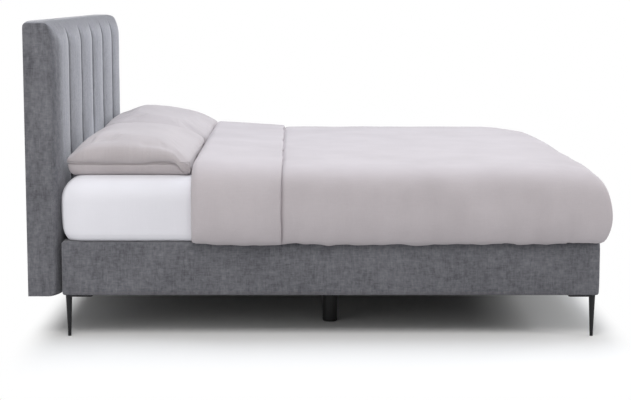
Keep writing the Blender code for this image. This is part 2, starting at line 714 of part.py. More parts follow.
def drop_outside(station):
    # How far out from the shoulder, and how high, the outer face is at a station of the drop
    reach_share, height_share = DUVET_DROP_SHARES[station]
    height = MATTRESS_TOP + DUVET_LOFT - DUVET_BOTTOM
    reach = (DUVET_SHOULDER + DUVET_REACH - DUVET_BAND_SIDE) * reach_share
    return reach, DUVET_BOTTOM + height * height_share


def drop_inside(station):
    # The same for the inner face: round the mattress edge, then straight down
    last = len(DUVET_DROP_SHARES) - 1
    turning = last // 2 + 1
    if station == 0:
        return 0, MATTRESS_TOP + FIT_GAP
    angle = min(1, station / turning) * math.pi / 2
    reach = DUVET_SHOULDER - TOP_ROLL_WIDTH + (TOP_ROLL_WIDTH + DUVET_SLACK) * math.sin(angle)
    z = MATTRESS_TOP - TOP_ROLL_FALL + (TOP_ROLL_FALL + DUVET_SLACK) * math.cos(angle)
    if station > turning:
        z += (DUVET_BOTTOM - z) * (station - turning) / (last - turning)
    return reach, z


def duvet_columns():
    # Places along the bed, with the share of the loft and whether the layer is doubled
    head = HEAD_X + DUVET_HEAD_EDGE
    band_end = head + DUVET_BAND_WIDTH
    columns = [(head + DUVET_HEAD_ROUND * place, share, 1) for place, share in DUVET_HEAD_SHARES]
    columns.append(((head + DUVET_HEAD_ROUND + band_end) / 2, 1, 1))
    columns.append((band_end - DUVET_BAND_STEP, 1, 1))
    start = band_end
    end = FOOT_X - DUVET_SHOULDER
    for step in range(DUVET_COLUMNS_ALONG + 1):
        columns.append((start + (end - start) * step / DUVET_COLUMNS_ALONG, 1, 0))
    return columns


def duvet_point(place, side, across, foot, column, outer):
    # place and column describe the line along the bed; side and foot are the drop stations
    x, loft_share, band = column
    half = BED_WIDTH / 2 - DUVET_SHOULDER
    station = max(side, foot)
    reach, z = drop_outside(station) if outer else drop_inside(station)
    last = len(DUVET_DROP_SHARES) - 1
    hang = (station / last) ** 2
    along = x if foot == 0 else across * half
    fold = DUVET_FOLD * hang * math.sin(2 * math.pi * along / DUVET_FOLD_PITCH) ** 2
    wave = DUVET_HEM_WAVE * hang * math.cos(2 * math.pi * along / DUVET_WAVE_PITCH)
    if station:
        reach += fold - (DUVET_FOLD * hang if outer else 0)
    z += wave
    if outer:
        flat = 1 - hang
        z += DUVET_CROWN * flat * (1 - across ** 2) * (1 - place ** 2) + DUVET_BAND_LOFT * band * flat
        reach += DUVET_BAND_SIDE * (band if foot == 0 else 1) * min(1, station)
        floor_reach, floor_z = drop_inside(station)
        reach = floor_reach + (reach - floor_reach) * loft_share
        if hang < 1:
            z = floor_z + (z - floor_z) * loft_share
    if side and foot:
        turn = foot / (2 * side) if side >= foot else 1 - side / (2 * foot)
        angle = turn * math.pi / 2
        corner = math.sin(2 * angle) ** 2
        reach += DUVET_CORNER_PUSH * corner
        z += DUVET_CORNER_LIFT * corner * hang
        return x + reach * math.sin(angle), across * half + math.copysign(reach * math.cos(angle), across), z
    if foot:
        return x + reach, across * half, z
    return x, across * half + (math.copysign(reach, across) if side else 0), z


def duvet():
    # An outer and an inner sheet over the mattress, joined round their edge
    last = len(DUVET_DROP_SHARES) - 1
    columns = [(column, 0) for column in duvet_columns()]
    columns += [(columns[-1][0], station) for station in range(1, last + 1)]
    rows = [(-1, station) for station in range(last, 0, -1)]
    rows += [(2 * step / DUVET_ROWS_ACROSS - 1, 0) for step in range(DUVET_ROWS_ACROSS + 1)]
    rows += [(1, station) for station in range(1, last + 1)]
    start = columns[0][0][0]
    length = columns[-1][0][0] - start
    build = bmesh.new()
    edges = []
    for outer in (True, False):
        grid = bmesh.ops.create_grid(build, x_segments=len(columns) - 1, y_segments=len(rows) - 1, size=1)
        for vert in grid["verts"]:
            column, foot = columns[round((vert.co.x + 1) / 2 * (len(columns) - 1))]
            across, side = rows[round((vert.co.y + 1) / 2 * (len(rows) - 1))]
            place = 2 * (column[0] - start) / length - 1
            vert.co = duvet_point(place, side, across, foot, column, outer)
        edges += [edge for edge in {edge for vert in grid["verts"] for edge in vert.link_edges}
                  if edge.is_boundary]
    bmesh.ops.bridge_loops(build, edges=edges)
    add_piece("duvet", build, bed_linen)


make_bases()
make_legs()
make_headboard()
make_mattress()
make_pillows()
duvet()
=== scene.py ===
# Box spring bed in a pale studio: upholstered bases on steel legs, a headboard with upright
# channels, a mattress in a white sheet, two pillows and a duvet turned down at the head.
# Metres, +Z up, +X to the foot end, -Y the near long side.

import json
import math

import bmesh
import bpy
from mathutils import Matrix, Vector, noise


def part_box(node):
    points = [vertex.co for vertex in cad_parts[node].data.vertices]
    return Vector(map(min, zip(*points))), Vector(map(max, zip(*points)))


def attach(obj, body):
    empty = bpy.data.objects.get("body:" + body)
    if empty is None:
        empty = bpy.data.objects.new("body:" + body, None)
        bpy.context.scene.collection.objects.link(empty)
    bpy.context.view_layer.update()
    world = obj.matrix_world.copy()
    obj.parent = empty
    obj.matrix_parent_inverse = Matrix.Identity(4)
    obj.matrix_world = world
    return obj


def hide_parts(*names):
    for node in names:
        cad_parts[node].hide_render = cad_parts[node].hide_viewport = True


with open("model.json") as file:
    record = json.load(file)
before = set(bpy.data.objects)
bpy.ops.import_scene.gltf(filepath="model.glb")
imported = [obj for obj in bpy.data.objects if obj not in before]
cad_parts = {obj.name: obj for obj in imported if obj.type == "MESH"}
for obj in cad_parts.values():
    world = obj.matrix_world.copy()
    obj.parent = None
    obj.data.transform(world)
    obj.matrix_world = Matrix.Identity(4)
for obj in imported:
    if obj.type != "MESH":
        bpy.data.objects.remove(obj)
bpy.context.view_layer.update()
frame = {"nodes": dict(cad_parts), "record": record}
nodes = frame["nodes"]
print("frame loaded:", len(nodes), "nodes")

baseLow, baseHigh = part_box("right_base_border")
sheetLow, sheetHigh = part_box("fitted_sheet")
headX, footX = baseLow.x, baseHigh.x      # the bases' head and foot ends
nearY = baseLow.y
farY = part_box("left_base_border")[1].y
mattressTop = sheetHigh.z


# Camera, floor, world and lights

studio = {
    "cameraPlace": (-0.018, -6.305, 1.273),
    "cameraPitch": 6.742,        # degrees below level
    "cameraLens": 84.21,
    "cameraSensor": 36,
    "cameraShift": -0.05,
    "cameraReach": 100,
    "floorSize": 60.0,
    "floorColour": "D8D8D8",     # of the floor as it throws light back up
    "floorSeen": 0.91,           # how pale the floor is to the camera, 1 is white
    # How far past the head end, foot end and sides of the bed the floor turns wholly white
    "floorFade": {"head": 0.16, "foot": 0.13, "side": 0.90},
    "skyStrength": 0.30,
    "lamps": {                   # place, aim, size in metres, watts, colour
        "overhead": ((0.1, 0.4, 3.6), (0.0, 0.0, 0.4), 3.0, 90, (0.91, 0.975, 1.05)),
        "footSide": ((4.2, 1.8, 2.3), (-0.4, 0.1, 0.6), 2.0, 38, (0.97, 0.99, 1.0)),
        "frontHigh": ((-0.3, -3.4, 4.2), (-0.1, -0.3, 0.4), 2.6, 84, (1.0, 0.99, 0.98)),
        "headFill": ((-2.5, -3.8, 1.4), (-0.9, -0.9, 0.3), 2.0, 23, (1.0, 0.99, 0.98)),
        "footFill": ((3.8, -1.8, 1.7), (1.0, -0.9, 0.5), 1.0, 38, (1.0, 1.0, 1.0)),
        "headLow": ((-2.6, -2.2, 0.6), (-1.05, -0.9, 0.25), 0.8, 5.5, (1.0, 1.0, 1.0)),
        "farSide": ((1.5, 4.0, 2.6), (-1.0, 0.6, 0.9), 1.6, 16, (1.0, 1.0, 1.0)),
    },
}


def toLinear(code):
    # An sRGB hex value as linear red, green, blue and alpha
    shares = [int(code[place:place + 2], 16) / 255 for place in (0, 2, 4)]
    return (*[s / 12.92 if s <= 0.04045 else ((s + 0.055) / 1.055) ** 2.4 for s in shares], 1.0)


def addNode(tree, kind, settings=None, links=None):
    # A shader node with its values and options set, and what is wired to its inputs
    node = tree.nodes.new("ShaderNode" + kind)
    for key, value in (settings or {}).items():
        if isinstance(key, int) or key in node.inputs:
            node.inputs[key].default_value = value
        else:
            setattr(node, key, value)
    for key, source in (links or {}).items():
        tree.links.new(source, node.inputs[key])
    return node


def addObject(name, data):
    thing = bpy.data.objects.new(name, data)
    bpy.context.scene.collection.objects.link(thing)
    return thing


def meshOf(name, build):
    mesh = bpy.data.meshes.new(name)
    build.to_mesh(mesh)
    build.free()
    return mesh


def lookedAt(tree):
    # The kinds of ray, and 1 where one shows a thing straight, mirrored or through glass
    rays = addNode(tree, "LightPath").outputs
    looked = rays["Is Camera Ray"]
    for kind in ("Is Glossy Ray", "Is Transmission Ray"):
        looked = addNode(tree, "Math", {"operation": "MAXIMUM"}, {0: looked, 1: rays[kind]}).outputs[0]
    return rays, looked


def makeCamera():
    data = bpy.data.cameras.new("photoView")
    data.lens = studio["cameraLens"]
    data.sensor_width = studio["cameraSensor"]
    data.shift_y = studio["cameraShift"]
    data.clip_end = studio["cameraReach"]
    camera = addObject("photoView", data)
    camera.location = studio["cameraPlace"]
    camera.rotation_euler = (math.radians(90 - studio["cameraPitch"]), 0, 0)
    bpy.context.scene.camera = camera


def makeFloor():
    build = bmesh.new()
    bmesh.ops.create_grid(build, x_segments=1, y_segments=1, size=studio["floorSize"] / 2)
    mesh = meshOf("studioFloor", build)
    addObject("studioFloor", mesh)
    material = bpy.data.materials.new("paleFloor")
    material.use_nodes = True
    tree = material.node_tree
    tree.nodes.clear()
    # To the camera the floor keeps the shadows near the bed and turns white further out
    rays, looked = lookedAt(tree)
    place = addNode(tree, "TexCoord").outputs["Object"]
    fades = studio["floorFade"]
    past = []
    for corner, end, way in (((footX, farY, 0), "foot", 1), ((headX, nearY, 0), "head", -1)):
        apart = addNode(tree, "VectorMath", {"operation": "SUBTRACT", 1: corner}, {0: place})
        shares = (way / fades[end], way / fades["side"], 0)
        share = addNode(tree, "VectorMath", {"operation": "MULTIPLY", 1: shares}, {0: apart.outputs[0]})
        past.append(share.outputs[0])
    out = addNode(tree, "VectorMath", {"operation": "MAXIMUM"}, {0: past[0], 1: past[1]})
    out = addNode(tree, "VectorMath", {"operation": "MAXIMUM", 1: (0, 0, 0)}, {0: out.outputs[0]})
    out = addNode(tree, "VectorMath", {"operation": "LENGTH"}, {0: out.outputs[0]})
    fade = addNode(tree, "MapRange", {"interpolation_type": "SMOOTHSTEP"}, {"Value": out.outputs["Value"]})
    lit = addNode(tree, "BsdfDiffuse", {"Color": toLinear(studio["floorColour"])})
    seen = addNode(tree, "BsdfDiffuse", {"Color": (*[studio["floorSeen"]] * 3, 1)})
    white = addNode(tree, "Emission", {"Color": (1, 1, 1, 1), "Strength": 1})
    seen = addNode(tree, "MixShader", links={0: fade.outputs[0], 1: seen.outputs[0], 2: white.outputs[0]})
    mix = addNode(tree, "MixShader", links={0: looked, 1: lit.outputs[0], 2: seen.outputs[0]})
    # From below the floor isn't seen
    under = addNode(tree, "Math", {"operation": "MULTIPLY"},
                    {0: addNode(tree, "NewGeometry").outputs["Backfacing"], 1: rays["Is Camera Ray"]})
    clear = addNode(tree, "BsdfTransparent")
    mix = addNode(tree, "MixShader", links={0: under.outputs[0], 1: mix.outputs[0], 2: clear.outputs[0]})
    addNode(tree, "OutputMaterial", links={"Surface": mix.outputs[0]})
    mesh.materials.append(material)


def makeWorld():
    world = bpy.data.worlds.new("studioWorld")
    bpy.context.scene.world = world
    world.use_nodes = True
    tree = world.node_tree
    tree.nodes.clear()
    looked = lookedAt(tree)[1]
    sky = addNode(tree, "Background", {"Color": (1, 1, 1, 1), "Strength": studio["skyStrength"]})
    white = addNode(tree, "Background", {"Color": (1, 1, 1, 1), "Strength": 1})
    mix = addNode(tree, "MixShader", links={0: looked, 1: sky.outputs[0], 2: white.outputs[0]})
    addNode(tree, "OutputWorld", links={"Surface": mix.outputs[0]})


def makeLamps():
    for name, (place, aim, size, watts, colour) in studio["lamps"].items():
        data = bpy.data.lights.new(name, "AREA")
        data.shape = "SQUARE"
        data.size = size
        data.energy = watts
        data.color = colour
        lamp = addObject(name, data)
        lamp.location = place
        lamp.rotation_euler = (Vector(aim) - Vector(place)).to_track_quat("-Z", "Y").to_euler()


bpy.context.scene.view_settings.view_transform = "Standard"
makeCamera()
makeFloor()
makeWorld()
makeLamps()
print("camera, floor and lamps placed")


# Finishes

millimetre = 0.001


def newMaterial(name, roughness=0.5, metallic=0.0, ior=1.5):
    # A material, its tree and shader, and places on a piece in metres
    material = bpy.data.materials.new(name)
    material.use_nodes = True
    tree = material.node_tree
    shader = tree.nodes["Principled BSDF"]
    shader.inputs["Roughness"].default_value = roughness
    shader.inputs["Metallic"].default_value = metallic
    shader.inputs["IOR"].default_value = ior
    return material, tree, shader, addNode(tree, "TexCoord").outputs["Object"]


def tintBy(tree, shader, amount, low, high):
    # The shader's colour runs between two shades as a pattern goes from 0 to 1
    mix = addNode(tree, "Mix", {"data_type": "RGBA", 6: toLinear(low), 7: toLinear(high)}, {0: amount})
    tree.links.new(mix.outputs[2], shader.inputs["Base Color"])


def roughenBy(tree, shader, amount, low, high):
    # The roughness runs between two values as a pattern goes from 0 to 1
    rough = addNode(tree, "MapRange", {"To Min": low, "To Max": high}, {"Value": amount})
    tree.links.new(rough.outputs[0], shader.inputs["Roughness"])


def raiseBy(tree, shader, height, depth, strength=1.0):
    # The surface stands up by a pattern, depth in metres
    bump = addNode(tree, "Bump", {"Strength": strength, "Distance": depth}, {"Height": height})
    tree.links.new(bump.outputs[0], shader.inputs["Normal"])


def pattern(tree, kind, place, cell, settings=None):
    # A texture whose cells are so many millimetres fine, and so many long along one axis
    fine, long, axis = cell
    scale = [1 / (fine * millimetre)] * 3
    scale[axis] = 1 / (long * millimetre)
    cells = addNode(tree, "Mapping", {"Scale": scale}, {"Vector": place})
    return addNode(tree, kind, {"Scale": 1.0, **(settings or {})}, {"Vector": cells.outputs[0]})


def wovenChenille(name, brushed):
    # Soft pile yarns: matt and mottled, paler where seen along the pile. Real yarns are 1.5 mm
    # apart; they're drawn 4 mm wide so that they show. Brushed says how much upright pile marks show
    material, tree, shader, place = newMaterial(name, 0.9, ior=1.45)
    upright = pattern(tree, "TexNoise", place, (4, 30, 2), {"Detail": 3.0, "Roughness": 0.6})
    level = pattern(tree, "TexNoise", place, (4, 26, 0), {"Detail": 3.0, "Roughness": 0.6})
    blotch = pattern(tree, "TexNoise", place, (16, 16, 2), {"Detail": 5.0, "Roughness": 0.62})
    patch = pattern(tree, "TexNoise", place, (160, 160, 2), {"Detail": 2.0})
    marks = pattern(tree, "TexNoise", place, (30, 150, 2), {"Detail": 4.0, "Roughness": 0.6})
    yarns = addNode(tree, "Math", {"operation": "ADD"}, {0: upright.outputs[0], 1: level.outputs[0]})
    mottle = addNode(tree, "Math", {"operation": "MULTIPLY", 1: 0.22}, {0: yarns.outputs[0]})
    for layer, share in ((blotch, 0.32), (patch, 0.14), (marks, brushed)):
        mottle = addNode(tree, "Math", {"operation": "MULTIPLY_ADD", 1: share},
                         {0: layer.outputs[0], 2: mottle.outputs[0]})
    middle = 0.45 + brushed / 2
    spread = addNode(tree, "MapRange", {"From Min": middle - 0.12, "From Max": middle + 0.14},
                     {"Value": mottle.outputs[0]})
    tintBy(tree, shader, spread.outputs[0], "525257", "7D7D82")
    raiseBy(tree, shader, mottle.outputs[0], 2.5 * millimetre, 0.5)
    shader.inputs["Specular IOR Level"].default_value = 0.2
    shader.inputs["Sheen Weight"].default_value = 1.0
    shader.inputs["Sheen Roughness"].default_value = 0.32
    shader.inputs["Sheen Tint"].default_value = toLinear("D0D0D5")
    return material


def wovenCotton(name, low, high, creaseDepth):
    # Percale: smooth and matt with a faint crossing of threads. Real threads are 0.3 mm apart;
    # they're drawn 2.5 mm wide so that they show
    material, tree, shader, place = newMaterial(name, 0.85)
    warp = pattern(tree, "TexNoise", place, (2.5, 60, 0), {"Detail": 2.0})
    weft = pattern(tree, "TexNoise", place, (2.5, 60, 2), {"Detail": 2.0})
    crease = pattern(tree, "TexNoise", place, (55, 90, 1),
                     {"Detail": 4.0, "Roughness": 0.55, "Distortion": 0.6})
    cloud = pattern(tree, "TexNoise", place, (210, 210, 2), {"Detail": 2.0})
    threads = addNode(tree, "Math", {"operation": "ADD"}, {0: warp.outputs[0], 1: weft.outputs[0]})
    tone = addNode(tree, "Math", {"operation": "MULTIPLY_ADD", 1: 0.35},
                   {0: threads.outputs[0], 2: cloud.outputs[0]})
    tone = addNode(tree, "MapRange", {"From Min": 0.55, "From Max": 1.15}, {"Value": tone.outputs[0]})
    tintBy(tree, shader, tone.outputs[0], low, high)
    relief = addNode(tree, "Math", {"operation": "MULTIPLY_ADD", 1: 0.04},
                     {0: threads.outputs[0], 2: crease.outputs[0]})
    raiseBy(tree, shader, relief.outputs[0], creaseDepth * millimetre)
    shader.inputs["Specular IOR Level"].default_value = 0.25
    shader.inputs["Sheen Weight"].default_value = 0.12
    shader.inputs["Sheen Roughness"].default_value = 0.5
    return material


def spunbondCloth(name, low, high):
    # Spun-bonded polypropylene: dry and matt, pressed in a grid of small dots 3 mm apart
    material, tree, shader, place = newMaterial(name, 0.92)
    dots = pattern(tree, "TexVoronoi", place, (3, 3, 2), {"Randomness": 0.1})
    fibre = pattern(tree, "TexNoise", place, (18, 18, 2), {"Detail": 5.0, "Roughness": 0.7})
    tone = addNode(tree, "Math", {"operation": "MULTIPLY_ADD", 1: 0.3},
                   {0: dots.outputs[0], 2: fibre.outputs[0]})
    tintBy(tree, shader, tone.outputs[0], low, high)
    raiseBy(tree, shader, dots.outputs[0], 0.3 * millimetre)
    return material


def powderCoatedSteel():
    # Matt black powder coat, finely pebbled
    material, tree, shader, place = newMaterial("powderCoatedSteel")
    pebble = pattern(tree, "TexNoise", place, (1.2, 1.2, 2), {"Detail": 3.0})
    roughenBy(tree, shader, pebble.outputs[0], 0.40, 0.58)
    tintBy(tree, shader, pebble.outputs[0], "111113", "1B1B1E")
    raiseBy(tree, shader, pebble.outputs[0], 0.15 * millimetre)
    shader.inputs["Specular IOR Level"].default_value = 0.28
    return material


def mouldedPolypropylene():
    # Black moulded plastic, dull, with a fine moulding grain
    material, tree, shader, place = newMaterial("mouldedPolypropylene", ior=1.49)
    grain = pattern(tree, "TexNoise", place, (1.5, 1.5, 2), {"Detail": 4.0})
    scuff = pattern(tree, "TexNoise", place, (9, 40, 0), {"Detail": 3.0})
    roughenBy(tree, shader, scuff.outputs[0], 0.32, 0.55)
    tintBy(tree, shader, scuff.outputs[0], "0C0C0D", "151516")
    raiseBy(tree, shader, grain.outputs[0], 0.1 * millimetre)
    shader.inputs["Specular IOR Level"].default_value = 0.28
    return material


def zincPlatedSteel():
    # Bright zinc over rolled steel: blue-grey metal with fine rolling lines
    material, tree, shader, place = newMaterial("zincPlatedSteel", metallic=1.0)
    lines = pattern(tree, "TexNoise", place, (0.8, 30, 0), {"Detail": 4.0})
    bloom = pattern(tree, "TexNoise", place, (14, 14, 2), {"Detail": 3.0})
    roughenBy(tree, shader, lines.outputs[0], 0.26, 0.46)
    tintBy(tree, shader, bloom.outputs[0], "9FA4AB", "C4C8CC")
    raiseBy(tree, shader, lines.outputs[0], 0.05 * millimetre)
    return material


def planedSpruce():
    # Pale softwood with growth rings, planed but not sealed
    material, tree, shader, place = newMaterial("planedSpruce", 0.7)
    warped = pattern(tree, "TexNoise", place, (90, 600, 1), {"Detail": 2.0})
    rings = pattern(tree, "TexWave", place, (22, 700, 1),
                    {"wave_type": "RINGS", "rings_direction": "Y", "Distortion": 4.0, "Detail": 2.0,
                     "Detail Scale": 0.7})
    tone = addNode(tree, "Math", {"operation": "MULTIPLY"}, {0: rings.outputs[1], 1: warped.outputs[0]})
    tintBy(tree, shader, tone.outputs[0], "D6BC92", "A9854F")
    raiseBy(tree, shader, rings.outputs[1], 0.2 * millimetre)
    return material


def pressedHardboard():
    # Brown wood-fibre board, smooth on its face with dark flecks
    material, tree, shader, place = newMaterial("pressedHardboard", 0.6)
    fleck = pattern(tree, "TexNoise", place, (6, 6, 2), {"Detail": 6.0, "Roughness": 0.75})
    tintBy(tree, shader, fleck.outputs[0], "5B402A", "8F6F52")
    raiseBy(tree, shader, fleck.outputs[0], 0.1 * millimetre)
    return material


def slabFoam():
    # Open-cell polyurethane foam: cream, with pores about 1 mm across
    material, tree, shader, place = newMaterial("slabFoam", 0.95)
    pores = pattern(tree, "TexVoronoi", place, (1.2, 1.2, 2))
    tintBy(tree, shader, pores.outputs[0], "EADFBB", "CFC193")
    raiseBy(tree, shader, pores.outputs[0], 0.6 * millimetre)
    return material


def knittedTicking():
    # Stretch-knit mattress cover: soft off-white with a small raised rib
    material, tree, shader, place = newMaterial("knittedTicking", 0.9)
    rib = pattern(tree, "TexWave", place, (20, 20, 2), {"Distortion": 0.6})
    tintBy(tree, shader, rib.outputs[1], "D3D3CC", "EBEBE7")
    raiseBy(tree, shader, rib.outputs[1], 0.8 * millimetre)
    return material


finishes = {
    "upholstery_fabric": wovenChenille("wovenChenille", 0.10),
    "non_slip_cloth": spunbondCloth("nonSlipCloth", "333335", "464648"),
    "black_nonwoven": spunbondCloth("blackSpunbond", "131314", "232325"),
    "black_steel": powderCoatedSteel(),
    "black_plastic": mouldedPolypropylene(),
    "zinc_steel": zincPlatedSteel(),
    "spruce": planedSpruce(),
    "hardboard": pressedHardboard(),
    "spring_fabric": spunbondCloth("pocketFabric", "C9C9C4", "E2E2DE"),
    "foam": slabFoam(),
    "ticking": knittedTicking(),
    "white_cotton": wovenCotton("whitePercale", "E1E0E6", "E6E5EB", 0.3),
    "bed_linen": wovenCotton("mauvePercale", "B4ADB0", "BFB8BB", 1.0),
}
for part in frame["record"]["subparts"]:
    holder = nodes[part["node"]]
    holder.data.materials.clear()
    holder.data.materials.append(finishes[part["material_slot"]])
# Two more that share a slot with a finish above. The pillows' one is the duvet's mauve percale painted a
# shade darker, painted shade that stands in for the shade on the pillows
brushedChenille = wovenChenille("brushedChenille", 0.30)
shadedPillowPercale = wovenCotton("shadedPillowPercale", "AFA8AA", "BAB3B5", 1.0)
print("finishes made:", len(finishes) + 2)


# Making pieces

def newPiece(name, build, slotName, finish=None):
    # An object in place, in its mesh, with its slot's finish or a given one
    mesh = meshOf(name, build)
    for face in mesh.polygons:
        face.use_smooth = True
    mesh.materials.append(finish or finishes[slotName])
    piece = addObject(name, mesh)
    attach(piece, "root")
    return piece


def thicken(piece, thickness):
    # Gives a cloth its thickness, on the inner side
    wall = piece.modifiers.new("clothThickness", "SOLIDIFY")
    wall.thickness = thickness
    wall.offset = -1


def gridPlace(vert, columns, rows):
    # Which column and row of its grid a vertex is in
    return round((vert.co.x + 1) / 2 * columns), round((vert.co.y + 1) / 2 * rows)


def quarterTurn(steps, first=0):
    # Angles of a quarter turn in even steps
    return [step / steps * math.pi / 2 for step in range(first, steps + 1)]


def smoothLine(points, count):
    # Even steps along a smooth curve through the points
    points = [Vector(point) for point in points]
    dense = []
    for index in range(len(points) - 1):
        before = points[max(index - 1, 0)]
        start, end = points[index], points[index + 1]
        after = points[min(index + 2, len(points) - 1)]
        for step in range(12):
            t = step / 12
            pull = (before * -1 + start * 3 - end * 3 + after) * t ** 3
            bend = (before * 2 - start * 5 + end * 4 - after) * t ** 2
            dense.append((start * 2 + (end - before) * t + bend + pull) / 2)
    dense.append(points[-1])
    lengths = [0]
    for start, end in zip(dense, dense[1:]):
        lengths.append(lengths[-1] + (end - start).length)
    line, index = [], 0
    for step in range(count + 1):
        wanted = lengths[-1] * step / count
        while index < len(dense) - 2 and lengths[index + 1] < wanted:
            index += 1
        share = (wanted - lengths[index]) / max(lengths[index + 1] - lengths[index], 1e-9)
        line.append(dense[index].lerp(dense[index + 1], min(share, 1)))
    return line


def clothLines(low, high, before, after, cells):
    # Lines of a cloth over a block: place on the flat top, and drop station with its side's sign
    lines = [(low, -step) for step in range(before, 0, -1)]
    lines += [(low + (high - low) * cell / cells, 0) for cell in range(cells + 1)]
    lines += [(high, step) for step in range(1, after + 1)]
    return lines


def cornerWay(stepX, stepY, squareness):
    # Which way a point hangs out: square to a side, or turning round a corner
    ring = max(abs(stepX), abs(stepY))
    if ring == 0:
        return Vector((0, 0))
    square = Vector((stepX / ring, stepY / ring))
    if abs(stepX) >= abs(stepY):
        angle = abs(stepY / stepX) * math.pi / 4
    else:
        angle = math.pi / 2 - abs(stepX / stepY) * math.pi / 4
    turned = Vector((math.copysign(math.cos(angle), stepX), math.copysign(math.sin(angle), stepY)))
    if stepX == 0:
        turned.x = 0
    if stepY == 0:
        turned.y = 0
    return turned.lerp(square, squareness)


def ease(value, start, end):
    # 0 before start and 1 after end, with a smooth change between
    share = min(max((value - start) / (end - start), 0), 1)
    return share * share * (3 - 2 * share)


def softNoise(*place):
    return noise.noise(Vector(place))


# Fitted sheet, stretched over the mattress

sheetForm = {
    "coreInset": 0.085,
    "topRoll": (0.077, 0.090),      # in from the side, down from the top
    # In from the side, up from the base and the bend of the lower edge, at the ends and sides
    "footRoll": {"end": (0.020, 0.066, 2.9), "side": (0.010, 0.040, 2.9)},
    "edgeLift": 0.004,              # the turned-in edge stands this far off the base
    "edgeDepth": 0.034,
    "hemWidth": 0.080,              # turned in under the mattress
    "thickness": 0.0010,
    "stations": 30,
    "cells": (70, 62),
    "squareness": 0.35,
    "slack": 0.0022,
    # Slack sets in between these distances from the bed's middle, to its sides and ends
    "slackZone": {"side": (0.80, 0.90), "end": (0.90, 1.0)},
    "headReach": 0.007,             # the mattress bulges past the base at the head
    "headReachFrom": 0.5,           # starting this far from the bed's middle
    "shift": 0.0004,                # the cloth stands this much off the mattress
    "flatMargin": 0.30,             # past the top at each edge: 0.24 down the side, 0.06 turned under
}


def sheetProfile(word):
    # Reach past the core and height, from the flat top to the hem underneath
    inset, lift = sheetForm["coreInset"], sheetForm["edgeLift"]
    rollWidth, rollFall = sheetForm["topRoll"]
    footWidth, footRise, curve = sheetForm["footRoll"][word]
    low = sheetLow.z
    points = [(0, mattressTop)]
    for angle in quarterTurn(6):
        points.append((inset - rollWidth + rollWidth * math.sin(angle),
                       mattressTop - rollFall * (1 - math.cos(angle))))
    for step in range(1, 7):
        height = lift + (footRise - lift) * (1 - step / 6)
        points.append((inset - footWidth * (step / 6) ** curve, low + height))
    line = smoothLine(points, sheetForm["stations"] - 5)
    depth = sheetForm["edgeDepth"]
    for inward, height in ((footWidth + 0.004, lift), (0.7 * depth, 0.8 * lift),
                           (depth, 0), (depth + 0.03, 0)):
        line.append(Vector((inset - inward, low + height)))
    return line + [Vector((inset - depth - sheetForm["hemWidth"], low))]


def makeFittedSheet():
    endProfile, sideProfile = sheetProfile("end"), sheetProfile("side")
    inset, count = sheetForm["coreInset"], sheetForm["stations"]
    cellsX, cellsY = sheetForm["cells"]
    linesX = clothLines(sheetLow.x + inset, sheetHigh.x - inset, count, count, cellsX)
    linesY = clothLines(sheetLow.y + inset, sheetHigh.y - inset, count, count, cellsY)
    columns, rows = len(linesX) - 1, len(linesY) - 1
    build = bmesh.new()
    grid = bmesh.ops.create_grid(build, x_segments=columns, y_segments=rows, size=1)["verts"]
    for vert in grid:
        column, row = gridPlace(vert, columns, rows)
        (x, stepX), (y, stepY) = linesX[column], linesY[row]
        ring = max(abs(stepX), abs(stepY))
        way = cornerWay(stepX, stepY, sheetForm["squareness"])
        share = way.x ** 2 / way.length_squared if ring else 0
        reach, z = sideProfile[ring].lerp(endProfile[ring], share)
        vert.co = (x + way.x * reach, y + way.y * reach, z)
    bmesh.ops.recalc_face_normals(build, faces=build.faces)
    build.normal_update()
    middle = (sheetLow.z + sheetHigh.z) / 2
    zone = sheetForm["slackZone"]
    for vert in grid:
        x, y, z = vert.co
        side = min(1, ease(abs(y), *zone["side"]) + ease(abs(x - (headX + footX) / 2), *zone["end"]))
        swell = 1 - ((z - middle) / (sheetHigh.z - middle)) ** 2
        drag = softNoise(x * 9, y * 9, z * 3) + 0.5 * softNoise(x * 21, y * 21, z * 8)
        stand = sheetForm["shift"] + sheetForm["slack"] * max(0, 0.35 + 0.6 * drag) * side * swell
        vert.co += vert.normal * stand
        vert.co.x -= sheetForm["headReach"] * ease(-x, sheetForm["headReachFrom"], -headX) * max(swell, 0)
        vert.co.z = max(vert.co.z, sheetLow.z)
    piece = newPiece("fittedSheet", build, "white_cotton")
    thicken(piece, sheetForm["thickness"])
    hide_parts("fitted_sheet")


makeFittedSheet()
print("fitted sheet made")


# Duvet, turned down at the head

